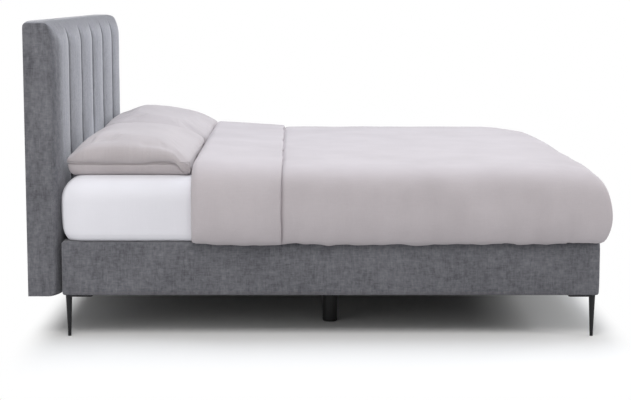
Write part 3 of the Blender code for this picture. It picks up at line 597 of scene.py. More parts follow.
duvetForm = {
    "foldFromHead": 0.486,
    "bandWidth": 0.333,
    "foldSkew": 0.016,            # how far the fold drifts to the head, per metre across the bed
    "skewFrom": -0.8,             # across the bed, where it starts
    "skewFade": (-0.1, 0.3),      # along the bed, the drift dies away between these places
    "foldRadius": 0.026,
    "foldTurn": (-70, 160),       # degrees where the fold starts, and how far it turns
    # The band's rounded edge, tucked under: metres back from the edge, share of its thickness
    "bandEdge": ((0.008, 0.37), (0.004, 0.33), (0.001, 0.24), (0.0, 0.06), (0.001, -0.18), (0.003, -0.30),
                 (-0.002, -0.32), (-0.005, -0.20), (-0.010, -0.06)),
    "edgeZone": (0.014, 0.018),   # what that edge takes up, behind and ahead of it
    "bandThins": 0.62,            # share of its thickness that the band loses up to the edge
    "coreInset": 0.120,
    "stations": 32,
    "cellsAcross": 112,
    "cellsMain": 84,
    "cellsBand": 22,
    "squareness": 0.88,
    # The drop's outer face, in metres past the base and above the floor, at the foot and sides
    "footDrop": ((-0.120, 0.6375), (-0.080, 0.6325), (-0.040, 0.6240), (-0.009, 0.6070), (0.013, 0.5850),
                 (0.028, 0.5630), (0.037, 0.5410), (0.044, 0.5180), (0.049, 0.4960), (0.052, 0.4740),
                 (0.053, 0.4510), (0.051, 0.4290), (0.046, 0.4070), (0.039, 0.3850), (0.030, 0.3660),
                 (0.021, 0.3555), (0.014, 0.3520), (0.008, 0.3560)),
    "sideDrop": ((-0.120, 0.6375), (-0.075, 0.6345), (-0.034, 0.6280), (0.000, 0.6130), (0.022, 0.5910),
                 (0.035, 0.5650), (0.042, 0.5380), (0.046, 0.5100), (0.049, 0.4820), (0.050, 0.4540),
                 (0.048, 0.4260), (0.043, 0.4020), (0.036, 0.3800), (0.028, 0.3630), (0.020, 0.3545),
                 (0.014, 0.3510), (0.008, 0.3560)),
    # The inner face stands off the mattress this much at the top, its rolled edge and the side
    "clear": (0.001, 0.002, 0.004),
    "insideDrop": ((0.0, 0.440), (0.001, 0.385), (0.001, 0.3615)),   # below: further out, and height
    "bandRise": 0.026,
    "bandSide": 0.012,
    "crown": 0.004,
    "cornerDroop": {"near": 0.006, "far": 0.011},
    "cornerReach": 0.08,
    "droopHeights": (0.50, 0.62),  # it sets in between these heights over the floor
    # How far the foot edge stands out from its straight line, across the bed from the near side
    "footWander": ((-0.95, -0.010), (-0.80, -0.003), (-0.61, -0.003), (-0.38, -0.010), (-0.14, -0.018),
                   (0.20, -0.021), (0.51, -0.030), (0.76, -0.050), (0.87, -0.070), (0.95, -0.082)),
    "footWanderFrom": 0.55,       # along the bed, where that sets in
    "bandWander": 0.005,          # how far the band's edge strays from a straight line
    "bandWanderReach": 0.06,
    "topRipples": (0.0030, 0.0016, 0.0008),     # heights of the creases, broad to fine
    "sideRipples": (0.0054, 0.0042, 0.0018),
    # Shares of the drop where the side's creases take over, and where the hem's wave does
    "sideZone": (0.22, 0.55),
    "hemZone": (0.7, 0.95),
    "hemWave": 0.0075,
    "hemLift": 0.001,             # the hem is this much higher at the foot
}


def duvetInside():
    # The inner face, just clear of the mattress
    inset = duvetForm["coreInset"]
    rollWidth, rollFall = sheetForm["topRoll"]
    topClear, rollClear, sideClear = duvetForm["clear"]
    points = [(0, mattressTop + topClear)]
    for angle in quarterTurn(6):
        points.append((inset - rollWidth + (rollWidth + sideClear) * math.sin(angle),
                       mattressTop - rollFall + (rollFall + rollClear) * math.cos(angle)))
    points += [(inset + sideClear + out, height) for out, height in duvetForm["insideDrop"]]
    return smoothLine(points, duvetForm["stations"])


def duvetLines():
    # Lines along the bed: place, drop station, share of the loft, share of the band's thickness
    form = duvetForm
    fold = headX + form["foldFromHead"]
    radius = form["foldRadius"]
    hem = fold + form["bandWidth"]
    begin, turn = form["foldTurn"]
    lines = []
    for step in range(10):
        angle = math.radians(begin + turn * step / 9)
        lines.append((fold + radius - radius * math.cos(angle), 0, 0.5 + 0.5 * math.sin(angle), 1.0))
    behind, ahead = form["edgeZone"]
    start, end = fold + radius, hem - behind
    for cell in range(1, form["cellsBand"] + 1):
        share = cell / form["cellsBand"]
        lines.append((start + (end - start) * share, 0, 1.0, 1.0 - form["bandThins"] * share))
    for back, thick in form["bandEdge"]:
        lines.append((hem - back, 0, 1.0, thick))
    start, end = hem + ahead, footX - form["coreInset"]
    for cell in range(form["cellsMain"] + 1):
        lines.append((start + (end - start) * cell / form["cellsMain"], 0, 1.0, 0.0))
    lines += [(end, step, 1.0, 0.0) for step in range(1, form["stations"] + 1)]
    return lines


def faceTilt(profile, index):
    # Which way the outer face looks, outward and up, at a place of its profile
    ahead = profile[min(index + 1, len(profile) - 1)]
    behind = profile[max(index - 1, 0)]
    run = (ahead - behind).normalized()
    return Vector((-run.y, run.x))


def footWander(y):
    # The stated offsets of the foot edge, joined smoothly
    points = duvetForm["footWander"]
    y = min(max(y, points[0][0]), points[-1][0])
    for (low, start), (high, end) in zip(points, points[1:]):
        if y <= high:
            return start + (end - start) * ease(y, low, high)
    return points[-1][1]


def duvetPoint(lineX, lineY, outside, inside, outer):
    form = duvetForm
    x, stepX, loft, band = lineX
    y, stepY = lineY
    ring = max(abs(stepX), abs(stepY))
    way = cornerWay(stepX, stepY, form["squareness"])
    footShare = way.x ** 2 / (way.x ** 2 + way.y ** 2) if ring else 0
    reachIn, zIn = inside[ring]
    if stepX == 0:
        x -= form["foldSkew"] * (y - form["skewFrom"]) * (1 - ease(x, *form["skewFade"]))
    if outer:
        reachOut, zOut = outside["side"][ring].lerp(outside["foot"][ring], footShare)
        tilt = faceTilt(outside["side"], ring)
        onTop = max(0, tilt.y)
        thick = band * form["bandRise"] * onTop + min(1, 2 * band) * form["bandSide"] * (1 - onTop)
        reach = reachIn + (reachOut + tilt.x * thick - reachIn) * loft
        z = zIn + (zOut + onTop * thick - zIn) * loft
        x += footWander(y + way.y * reach) * ease(x, form["footWanderFrom"], footX - form["coreInset"])
    else:
        reach, z = reachIn, zIn
    if stepX == 0:
        fromEdge = lineX[0] - headX - form["foldFromHead"] - form["bandWidth"]
        fade = math.exp(-(fromEdge / form["bandWanderReach"]) ** 2)
        x += form["bandWander"] * fade * softNoise((y + way.y * reach) * 7, z * 11, 6.0)
    return Vector((x + way.x * reach, y + way.y * reach, z))


def duvetRipples(point, lineX, lineY):
    # How far the outer face stands up or sinks, in metres
    form = duvetForm
    stepX, stepY = lineX[1], abs(lineY[1])
    hang = max(stepX, stepY) / form["stations"]
    x, y, z = point
    along = x if stepY >= stepX else y
    broad, narrow, fine = form["topRipples"]
    lie = broad * softNoise(x * 3.1, y * 3.1, 4.0) + narrow * softNoise(x * 7.5, y * 6.0, 9.0)
    lie += fine * softNoise(x * 16, y * 14, 2.0)
    broad, narrow, fine = form["sideRipples"]
    sway = broad * softNoise(along * 6.0, 3.0, z * 2.0) + narrow * softNoise(along * 16.0, 7.0, z * 2.0)
    sway += fine * softNoise(along * 38.0, 1.0, z * 4.0)
    side = ease(hang, *form["sideZone"])
    return lie * (1 - side) + sway * side


def makeDuvet():
    form = duvetForm
    inset, count = form["coreInset"], form["stations"]
    linesX = duvetLines()
    linesY = clothLines(nearY + inset, farY - inset, count, count, form["cellsAcross"])
    inside = duvetInside()
    outside = {}
    for word in ("foot", "side"):
        outside[word] = smoothLine([(out + inset, z) for out, z in form[word + "Drop"]], count)
    columns, rows = len(linesX) - 1, len(linesY) - 1
    build = bmesh.new()
    edges, outerVerts = [], []
    for outer in (True, False):
        grid = bmesh.ops.create_grid(build, x_segments=columns, y_segments=rows, size=1)["verts"]
        places = []
        for vert in grid:
            column, row = gridPlace(vert, columns, rows)
            places.append((vert, linesX[column], linesY[row]))
        for vert, lineX, lineY in places:
            vert.co = duvetPoint(lineX, lineY, outside, inside, outer)
        if outer:
            outerVerts = places
        edges += [edge for edge in {edge for vert in grid for edge in vert.link_edges}
                  if edge.is_boundary]
    bmesh.ops.bridge_loops(build, edges=edges)
    bmesh.ops.recalc_face_normals(build, faces=build.faces)
    corner = [vert for vert, lineX, lineY in outerVerts if lineX[1] > 0 and lineY[1] != 0]
    for turn in range(3):
        bmesh.ops.smooth_vert(build, verts=corner, factor=0.5,
                              use_axis_x=True, use_axis_y=True, use_axis_z=True)
    build.normal_update()
    coreX = footX - inset
    halfY = farY - inset
    for vert, lineX, lineY in outerVerts:
        x, y, z = vert.co
        hang = max(lineX[1], abs(lineY[1])) / count
        along = x if abs(lineY[1]) >= lineX[1] else y
        wave = 0.6 * softNoise(along * 5.0, 2.0, 8.0) + 0.7 * softNoise(along * 14.0, 5.0, 8.0)
        wave += 0.5 * abs(softNoise(along * 30.0, 9.0, 3.0)) * ease(along, 0.4, 0.7)
        lift = form["hemWave"] * wave + form["hemLift"] * ease(x, 0.1, footX)
        vert.co.z += lift * ease(hang, *form["hemZone"])
        if lineX[2] < 1:
            continue
        away = math.hypot(min(x - coreX, 0), min(abs(y) - halfY, 0))
        droop = form["cornerDroop"]["near" if y < 0 else "far"]
        droop *= math.exp(-(away / form["cornerReach"]) ** 2) * ease(z, *form["droopHeights"])
        crown = form["crown"] * (1 - (y / halfY) ** 2) if abs(y) < halfY else 0
        vert.co += vert.normal * duvetRipples(vert.co, lineX, lineY)
        vert.co.z += crown - droop
    piece = newPiece("duvet_cover", build, "bed_linen")
    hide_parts("duvet")


makeDuvet()
print("duvet made")


# Pillows

pillowForm = {
    "length": 0.71,
    "depth": 0.473,
    "height": 0.147,              # before the case fills
    "headGap": {"right": 0.010, "left": 0.004},
    "underRound": 0.027,          # how far in from the seam the underside meets the mattress
    "underGap": 0.0005,
    "spread": 0.990,
    "drawIn": 0.030,
    "skew": {"right": 0.18, "left": 0.42},
    # The dome from its middle to the seam: metres out past the seam, share of the height
    "headRight": ((-0.2365, 1.0), (-0.17, 0.985), (-0.125, 0.95), (-0.09, 0.86), (-0.062, 0.74),
                  (-0.040, 0.57), (-0.024, 0.40), (-0.009, 0.29), (0.000, 0.19), (0.003, 0.08), (0.0, 0.0)),
    "headLeft": ((-0.2365, 1.0), (-0.17, 0.985), (-0.11, 0.945), (-0.065, 0.87), (-0.034, 0.77),
                 (-0.014, 0.63), (-0.003, 0.48), (0.003, 0.33), (0.005, 0.18), (0.003, 0.07), (0.0, 0.0)),
    "footward": ((-0.2365, 1.0), (-0.17, 0.985), (-0.125, 0.935), (-0.09, 0.85), (-0.06, 0.73),
                 (-0.034, 0.60), (-0.014, 0.47), (-0.003, 0.35), (0.003, 0.23), (0.005, 0.12),
                 (0.003, 0.05), (0.0, 0.0)),
    "along": ((-0.355, 1.0), (-0.26, 0.985), (-0.17, 0.955), (-0.09, 0.915), (-0.045, 0.85),
              (-0.017, 0.75), (-0.001, 0.61), (0.008, 0.42), (0.011, 0.26), (0.008, 0.10), (0.0, 0.0)),
    "profilePoints": 120,
    "cornerPull": 0.035,
    "gridCells": (60, 84),
    "voxel": 0.0064,
    "pressure": 4.0,
    "frames": 20,
    "cap": 0.010,                 # how far a point may move as the case fills
    "firmReach": 0.07,            # nearer the seam than this, it moves less
    "firmHeight": 0.004,          # lower than this, and further than this past the seam, not at all
    "pipingRadius": 0.0017,
    "pipingSteps": (60, 90),      # along a short side and a long side
    "pipingStand": 0.0008,
    "seamDip": 0.0085,            # depth of the hollow under the seam
    "seamDipReach": 0.0036,
    "seamDipZone": 0.03,          # the hollow is drawn this near the seam
    "seamDrop": 0.0042,           # how far under the seam the hollow is
    "pucker": 0.0016,             # depth of the gathers beside the seam
    "puckerReach": 0.030,
    "waver": 0.0016,
    "restGap": 0.0004,
    "valleyDepth": 0.005,
    "valleyWidth": 0.018,
    # A crease of the near pillow, from its near foot corner, in metres from its middle
    "valley": ((0.215, -0.345), (0.170, -0.335), (0.120, -0.326), (0.060, -0.322)),
    # Height of the seam over the mattress: shares of half the depth and half the length, and
    # height, at corners, mid sides and one more, from the near head corner along the near side
    "rim": {
        "right": ((-1, -1, 0.050), (0, -1, 0.047), (0.6, -1, 0.052), (1, -1, 0.006), (1, 0, 0.034),
                  (1, 1, 0.055), (0, 1, 0.058), (-1, 1, 0.050), (-1, 0, 0.050)),
        "left": ((-1, -1, 0.052), (0, -1, 0.040), (1, -1, 0.010), (1, 0, 0.046),
                 (1, 1, 0.030), (0, 1, 0.050), (-1, 1, 0.050), (-1, 0, 0.068)),
    },
}


def rimHeight(word, u, v):
    # The seam's height near a place of the pillow, blended from the stated ones
    total, weight = 0, 0
    for ru, rv, height in pillowForm["rim"][word]:
        near = 1 / (0.02 + (u - ru) ** 2 + (v - rv) ** 2) ** 2
        total += height * near
        weight += near
    return total / weight


pillowProfiles = {way: smoothLine(pillowForm[way], pillowForm["profilePoints"])
                  for way in ("headRight", "headLeft", "footward", "along")}


def domeProfile(line, share):
    # Outward distance and height share at a share of the way from the middle to the seam
    place = min(abs(share), 1) * (len(line) - 1)
    index = min(int(place), len(line) - 2)
    return line[index].lerp(line[index + 1], place - index)


def pillowPoint(word, u, v, upper):
    form = pillowForm
    if upper:
        outX, fullX = domeProfile(pillowProfiles["footward" if u > 0 else "head" + word.capitalize()], u)
        outY, fullY = domeProfile(pillowProfiles["along"], v)
        bulgeX, bulgeY = max(0, outX) * fullY, max(0, outY) * fullX
        u = math.copysign(1 + min(0, outX) * 2 / form["depth"], u)
        v = math.copysign(1 + min(0, outY) * 2 / form["length"], v)
    blunt = 1 - form["cornerPull"] * (u * v) ** 6
    x = form["depth"] / 2 * u * (1 - form["drawIn"] * (1 - v ** 2)) * blunt
    y = form["length"] / 2 * v * (1 - form["drawIn"] * (1 - u ** 2)) * blunt
    rim = rimHeight(word, u, v)
    if upper:
        lean = (1 - form["skew"][word] * u * (1 - u ** 2)) / (1 + form["skew"][word] / 4)
        rise = (form["height"] - rim) * fullX * fullY * lean
        return Vector((x + math.copysign(bulgeX, u), y + math.copysign(bulgeY, v), rim + rise))
    away = min((1 - abs(u)) * form["depth"], (1 - abs(v)) * form["length"]) / 2
    inward = min(1, away / form["underRound"])
    return Vector((x, y, rim * (1 - math.sqrt(inward * (2 - inward))) + form["underGap"]))


def madeMesh(piece):
    # A mesh of what a piece's curve or modifiers make
    return bpy.data.meshes.new_from_object(piece.evaluated_get(bpy.context.evaluated_depsgraph_get()))


def applyModifiers(piece):
    # The piece's mesh becomes what its modifiers make of it
    made = madeMesh(piece)
    old = piece.data
    made.name = old.name
    piece.modifiers.clear()
    piece.data = made
    bpy.data.meshes.remove(old)
    for face in made.polygons:
        face.use_smooth = True


def fillCase(piece, form, held):
    # Swells a closed piece like a stuffed case; held says how firmly a point keeps its place
    remesh = piece.modifiers.new("evenMesh", "REMESH")
    remesh.mode = "VOXEL"
    remesh.voxel_size = form["voxel"]
    applyModifiers(piece)
    starts = [vert.co.copy() for vert in piece.data.vertices]
    group = piece.vertex_groups.new(name="held")
    for index, start in enumerate(starts):
        group.add([index], 1.0 if held(start) > 0.98 else 0.0, "REPLACE")
    cloth = piece.modifiers.new("filling", "CLOTH")
    cloth.settings.use_pressure = True
    cloth.settings.uniform_pressure_force = form["pressure"]
    cloth.settings.vertex_group_mass = "held"
    cloth.settings.effector_weights.gravity = 0
    cloth.point_cache.frame_end = form["frames"]
    for moment in range(1, form["frames"] + 1):
        bpy.context.scene.frame_set(moment)
    filled = piece.evaluated_get(bpy.context.evaluated_depsgraph_get())
    moves = [vert.co - start for vert, start in zip(filled.data.vertices, starts)]
    piece.modifiers.remove(cloth)
    for vert, start, move in zip(piece.data.vertices, starts, moves):
        vert.co = start + move * (1 - held(start)) * min(1, form["cap"] / max(move.length, 1e-9))
    subdivision = piece.modifiers.new("finer", "SUBSURF")
    subdivision.levels = subdivision.render_levels = 1
    applyModifiers(piece)
    piece.vertex_groups.clear()


def seamDistance(place):
    # How far a place of a pillow is from its seam, and how far along it
    form = pillowForm
    fromEnd = form["length"] / 2 - abs(place.y)
    fromSide = form["depth"] / 2 - abs(place.x)
    return (fromEnd, place.x) if fromEnd < fromSide else (fromSide, place.y)


def valleyDistance(place):
    # How far a place of the near pillow is from its crease, in plan
    points = [Vector(point) for point in pillowForm["valley"]]
    return min((place.xy - closestOn(place.xy, start, end)).length
               for start, end in zip(points, points[1:]))


def closestOn(place, start, end):
    run = end - start
    return start + run * min(1, max(0, (place - start).dot(run) / run.length_squared))


def creasePillow(piece, word, middle):
    form = pillowForm
    normals = [Vector(normal.vector) for normal in piece.data.vertex_normals]
    for vert, normal in zip(piece.data.vertices, normals):
        place = vert.co - middle
        away, along = seamDistance(place)
        gather = softNoise(along * 55, place.z * 8, 3.0 + middle.y)
        gather += 0.5 * softNoise(along * 120, 1.0, middle.y)
        depth = form["pucker"] * gather * math.exp(-max(0, away) / form["puckerReach"])
        depth += form["waver"] * softNoise(place.x * 14, place.y * 9, 5.0 + middle.y)
        if away < form["seamDipZone"]:
            u = max(-1, min(1, place.x * 2 / form["depth"]))
            v = max(-1, min(1, place.y * 2 / form["length"]))
            under = (rimHeight(word, u, v) - form["seamDrop"] - place.z) / form["seamDipReach"]
            depth -= form["seamDip"] * math.exp(-under ** 2)
        if word == "right" and normal.z > 0:
            depth -= form["valleyDepth"] * math.exp(-(valleyDistance(place) / form["valleyWidth"]) ** 2)
        vert.co += normal * depth * ease(place.z, 0.001, 0.012)
        vert.co.z = max(vert.co.z, middle.z + form["restGap"])


def makePiping(word, middle):
    # The corded seam round the case
    form = pillowForm
    short, long = form["pipingSteps"]
    around = [(-1 + 2 * step / short, -1) for step in range(short)]
    around += [(1, -1 + 2 * step / long) for step in range(long)]
    around += [(-u, -v) for u, v in around]
    curve = bpy.data.curves.new(word + "Piping", "CURVE")
    curve.dimensions = "3D"
    curve.bevel_depth = form["pipingRadius"]
    curve.bevel_resolution = 3
    spline = curve.splines.new("POLY")
    spline.points.add(len(around) - 1)
    spline.use_cyclic_u = True
    for point, (u, v) in zip(spline.points, around):
        u, v = math.sin(u * math.pi / 2), math.sin(v * math.pi / 2)
        place = pillowPoint(word, u, v, True)
        place.z = rimHeight(word, u, v)
        point.co = (*(place * (1 + form["pipingStand"] / place.length) + middle), 1)
    loose = addObject("loosePiping", curve)
    build = bmesh.new()
    build.from_mesh(madeMesh(loose))
    bpy.data.objects.remove(loose)
    # The piping takes the mauve percale painted a shade darker: painted shade
    newPiece(word + "_pillow_piping", build, "bed_linen", shadedPillowPercale)


def makePillow(word, side):
    form = pillowForm
    middle = Vector((headX + form["headGap"][word] + form["depth"] / 2,
                     side * form["spread"] / 2, mattressTop))

    def held(place):
        away = seamDistance(place - middle)[0]
        if place.z < middle.z + form["firmHeight"]:
            return 1.0
        return 1 - ease(away, -form["firmHeight"], form["firmReach"])

    columns, rows = form["gridCells"]
    build = bmesh.new()
    for upper in (True, False):
        grid = bmesh.ops.create_grid(build, x_segments=columns, y_segments=rows, size=1)["verts"]
        for vert in grid:
            u = math.sin(vert.co.x * math.pi / 2)
            v = math.sin(vert.co.y * math.pi / 2)
            onRim = vert.is_boundary
            vert.co = pillowPoint(word, u, v, upper)
            if onRim:
                vert.co.z = rimHeight(word, u, v)
    bmesh.ops.remove_doubles(build, verts=build.verts, dist=0.0002)
    bmesh.ops.recalc_face_normals(build, faces=build.faces)
    bmesh.ops.translate(build, vec=middle, verts=build.verts)
    # The case takes the mauve percale painted a shade darker: painted shade
    piece = newPiece(word + "_pillow_case", build, "bed_linen", shadedPillowPercale)
    fillCase(piece, form, held)
    creasePillow(piece, word, middle)
    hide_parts(word + "_pillow")
    makePiping(word, middle)


for word, side in (("right", -1), ("left", 1)):
    makePillow(word, side)
print("pillows made")


# Headboard upholstery

headboardForm = {
    "channels": 6,
    # Places where the cloth is shaped, over the first half of a channel, close beside the seam
    "seamShares": (0.0, 0.006, 0.013, 0.024, 0.045, 0.08, 0.13, 0.20, 0.29, 0.39, 0.5),
    "flatDepth": 0.093,
    "padRise": 0.0235,
    "channelRise": 0.010,
    "seamFade": (0.25, 0.95),     # the seams die away between these angles of the top roll
    "grooveDepth": 0.006,
    "grooveWidth": 0.0045,
    "sideRoll": 0.10,
    "sideTopRoll": 0.018,         # radius of the top edge at the flat sides
    "sideTopInset": 0.010,
    "topDepth": 0.062,
    "topRoll": 0.105,
    "crown": 0.010,
    "footRound": 0.016,
    "backRound": 0.012,
    "faceCells": 70,
    "waver": 0.0012,
    "seamGap": 0.0003,
    "cutPast": 0.01,              # the hollow for the frame is cut this far out through the back
}


def headboardSection(y, low, high):
    # Outline of the upholstery in one upright plane, from its back foot round the front
    form = headboardForm
    half = (high.y - low.y) / 2
    inward = min(1, (half - abs(y)) / form["sideRoll"])
    roll = math.sqrt(max(0, 1 - (1 - inward) ** 2))
    width = 2 * half / form["channels"]
    place = ((y + half) / width) % 1
    arch = math.sqrt(max(0, 1 - (2 * place - 1) ** 2))
    groove = math.exp(-(min(place, 1 - place) * width / form["grooveWidth"]) ** 2) * roll
    front = form["flatDepth"] + (form["padRise"] + form["channelRise"] * arch) * roll
    front -= form["grooveDepth"] * groove
    plain = form["flatDepth"] + (form["padRise"] + form["channelRise"] * math.pi / 4) * roll
    top = high.z - form["crown"] * (1 - roll)
    sideTop = form["flatDepth"] - form["sideTopInset"]
    topDepth = sideTop + (form["topDepth"] - sideTop) * roll
    fall = form["sideTopRoll"] + (form["topRoll"] - form["sideTopRoll"]) * roll
    foot, back = form["footRound"], form["backRound"]
    points = [(0, low.z), (front - foot, low.z)]
    for angle in quarterTurn(4, 1):
        points.append((front - foot + foot * math.sin(angle), low.z + foot * (1 - math.cos(angle))))
    rise = top - fall - low.z - foot
    for step in range(1, form["faceCells"]):
        z = low.z + foot + rise * step / form["faceCells"]
        waver = softNoise(y * 7, z * 5, 2.0) + 0.5 * softNoise(y * 15, z * 24, 6.0)
        points.append((front + form["waver"] * waver * roll * ease(step, 0, 6), z))
    for angle in quarterTurn(14):
        depth = front + (plain - front) * ease(angle, *form["seamFade"])
        points.append((topDepth + (depth - topDepth) * math.cos(angle), top - fall * (1 - math.sin(angle))))
    points += [(topDepth + (back - topDepth) * step / 4, top) for step in range(1, 5)]
    for angle in quarterTurn(4, 1):
        points.append((back * (1 - math.sin(angle)), top - back * (1 - math.cos(angle))))
    return [Vector((low.x + depth, y, z)) for depth, z in points]


def hollowOut(piece, low, high):
    # Takes a box out of a piece
    build = bmesh.new()
    bmesh.ops.create_cube(build, size=1)
    bmesh.ops.scale(build, vec=high - low, verts=build.verts)
    bmesh.ops.translate(build, vec=(low + high) / 2, verts=build.verts)
    hollow = addObject("hollow", meshOf("hollow", build))
    cut = piece.modifiers.new("hollow", "BOOLEAN")
    cut.operation = "DIFFERENCE"
    cut.object = hollow
    applyModifiers(piece)
    bpy.data.objects.remove(hollow)


def makeHeadboard():
    form = headboardForm
    low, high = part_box("headboard_channel_upholstery")
    shares = form["seamShares"] + tuple(1 - share for share in reversed(form["seamShares"][1:-1]))
    width = (high.y - low.y) / form["channels"]
    places = [low.y + width * (channel + share) for channel in range(form["channels"]) for share in shares]
    sections = [headboardSection(y, low, high) for y in places + [high.y]]
    stations, count = len(sections) - 1, len(sections[0])
    build = bmesh.new()
    for vert in bmesh.ops.create_grid(build, x_segments=count, y_segments=stations, size=1)["verts"]:
        place, station = gridPlace(vert, count, stations)
        vert.co = sections[station][place % count]
    bmesh.ops.remove_doubles(build, verts=build.verts, dist=0.00005)
    bmesh.ops.holes_fill(build, edges=[edge for edge in build.edges if edge.is_boundary], sides=0)
    bmesh.ops.recalc_face_normals(build, faces=build.faces)
    piece = newPiece("headboardUpholstery", build, "upholstery_fabric", brushedChenille)
    boardLow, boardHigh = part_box("headboard_front_board")
    gap = Vector([form["seamGap"]] * 3)
    hollowOut(piece, Vector((low.x - form["cutPast"], boardLow.y, boardLow.z)) - gap, boardHigh + gap)
    piece.data.set_sharp_from_angle(angle=math.radians(55))
    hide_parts("headboard_channel_upholstery")


makeHeadboard()
print("headboard made")


# Base upholstery

baseForm = {
    "cell": 0.028,
    "skin": 0.0095,              # what is nearer than this to the outside is cloth that can swell
    "bulge": 0.0022,
    "waver": 0.0011,
    "pull": 0.0010,              # puckers at the lower edge, where the cloth is turned under
    "pullReach": 0.018,
    "innerShare": 0.4,           # the sides between the two bases swell this much less
}


def sliceMesh(build, low, high, cell):
    # Cuts a mesh into cells along each axis, so that its flat faces can be shaped
    for axis in range(3):
        count = round((high[axis] - low[axis]) / cell)
        for step in range(1, count):
            place, normal = Vector(), Vector()
            place[axis] = low[axis] + (high[axis] - low[axis]) * step / count
            normal[axis] = 1
            whole = build.verts[:] + build.edges[:] + build.faces[:]
            bmesh.ops.bisect_plane(build, geom=whole, plane_co=place, plane_no=normal, dist=0.00001)


def makeBaseUpholstery(word):
    form = baseForm
    low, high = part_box(word + "_base_border")
    build = bmesh.new()
    build.from_mesh(nodes[word + "_base_border"].data)
    bmesh.ops.remove_doubles(build, verts=build.verts, dist=0.00002)
    bmesh.ops.dissolve_limit(build, angle_limit=math.radians(1), verts=build.verts, edges=build.edges)
    sliceMesh(build, low, high, form["cell"])
    build.normal_update()
    for vert in build.verts:
        x, y, z = vert.co
        outward = Vector((vert.normal.x, vert.normal.y, 0))
        if min(x - low.x, high.x - x, y - low.y, high.y - y) > form["skin"] or outward.length < 0.3:
            continue
        # The head end rests against the headboard, and the two bases stand close together
        free = 0 if x < low.x + form["skin"] else 1
        free *= form["innerShare"] if abs(y) < 2 * form["skin"] else 1
        up = 2 * (z - low.z) / (high.z - low.z) - 1
        along = x + y
        waver = softNoise(along * 4, z * 6, 3.0) + 0.6 * softNoise(along * 11, z * 9, 1.0)
        pull = softNoise(along * 26, 1.0, 5.0) * math.exp(-(z - low.z) / form["pullReach"])
        swell = form["bulge"] * (1 - up ** 4) + form["waver"] * waver * (1 - up ** 4) + form["pull"] * pull
        vert.co += outward.normalized() * swell * free
    piece = newPiece(word + "BaseUpholstery", build, "upholstery_fabric")
    piece.data.set_sharp_from_angle(angle=math.radians(40))
    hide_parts(word + "_base_border")


for word in ("right", "left"):
    makeBaseUpholstery(word)
print("base upholstery made")


# Cloths under the bases and behind the headboard

clothForm = {
    "cell": 0.020,
    "thickness": 0.0006,
    "sag": 0.0016,
    "edgeFlat": (0.03, 0.12),    # the cloth lies flat near its stapled edge
    "legClear": (0.05, 0.13),    # and round the middle of a leg, plate or strap
}


def makeCloth(node, axis, posts):
    # A stapled cloth across one axis, sagging a little to that axis's low side between its edges
    form = clothForm
    low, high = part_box(node)
    across, along = [other for other in range(3) if other != axis]
    width, length = high[across] - low[across], high[along] - low[along]
    columns, rows = round(width / form["cell"]), round(length / form["cell"])
    build = bmesh.new()
    for vert in bmesh.ops.create_grid(build, x_segments=columns, y_segments=rows, size=1)["verts"]:
        place = Vector()
        place[across] = low[across] + width * (vert.co.x + 1) / 2
        place[along] = low[along] + length * (vert.co.y + 1) / 2
        edge = min(place[across] - low[across], high[across] - place[across],
                   place[along] - low[along], high[along] - place[along])
        slack = ease(edge, *form["edgeFlat"])
        for post in posts:
            slack *= ease(math.hypot(place.x - post[0], place.y - post[1]), *form["legClear"])
        drop = 0.5 + softNoise(place.x * 5, place.y * 5, place.z * 5 + 1)
        drop += 0.4 * softNoise(place.x * 14, place.y * 14, place.z * 14)
        place[axis] = low[axis] - form["sag"] * max(0, drop) * slack
        vert.co = place
    bmesh.ops.recalc_face_normals(build, faces=build.faces)
    build.faces.ensure_lookup_table()
    if build.faces[0].normal[axis] > 0:
        bmesh.ops.reverse_faces(build, faces=build.faces)
    piece = newPiece(node + "_sheet", build, "black_nonwoven")
    thicken(piece, form["thickness"])
    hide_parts(node)


legPosts = []
for name in nodes:
    if name.endswith(("_leg", "_plate", "_strap")):
        postLow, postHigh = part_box(name)
        legPosts.append(((postLow.x + postHigh.x) / 2, (postLow.y + postHigh.y) / 2))
for word in ("right", "left"):
    makeCloth(word + "_base_dust_cloth", 2, legPosts)
makeCloth("headboard_back_cloth", 0, [])
print("cloths made")


# Staples and screws

fastenerForm = {
    "stapleLength": 0.010,
    "stapleWidth": 0.0013,
    "stapleRise": 0.0006,
    "staplePitch": 0.048,
    "stapleInset": 0.007,
    "stapleTilt": 0.12,           # radians
    "postClear": (0.06, 0.10),    # no staple this near the middle of a leg, plate or strap
    "headRadius": 0.0047,
    "headHeight": 0.0026,
    # The head's outline from its middle, in shares of radius and height
    "headOutline": ((0, -1), (0.45, -1), (0.8, -0.86), (0.97, -0.5), (1, -0.1), (0.99, 0)),
    "shankRadius": 0.0024,
    "recessWidth": 0.0012,
    "recessReach": 0.0027,
    "recessDepth": 0.0012,
    "legPlate": 0.005,            # thickness of the legs' plates, and of other plates and straps
    "otherPlate": 0.003,
    "holeInset": 0.014,           # from a plate's edge to its holes
}


def repeatShape(template, places):
    # Copies of one shape in one mesh, one for each matrix
    build = bmesh.new()
    for matrix in places:
        before = len(build.verts)
        build.from_mesh(template)
        build.verts.ensure_lookup_table()
        bmesh.ops.transform(build, matrix=matrix, verts=build.verts[before:])
    return build


def makeStaple():
    # One staple's crown, lying along X and standing out of the cloth along +Z
    form = fastenerForm
    build = bmesh.new()
    bmesh.ops.create_cube(build, size=1)
    rise = form["stapleRise"]
    bmesh.ops.scale(build, vec=(form["stapleLength"], form["stapleWidth"], rise), verts=build.verts)
    bmesh.ops.translate(build, vec=(0, 0, rise / 2), verts=build.verts)
    bmesh.ops.bevel(build, geom=build.edges[:], offset=rise / 3, segments=1, affect="EDGES")
    return meshOf("staple", build)


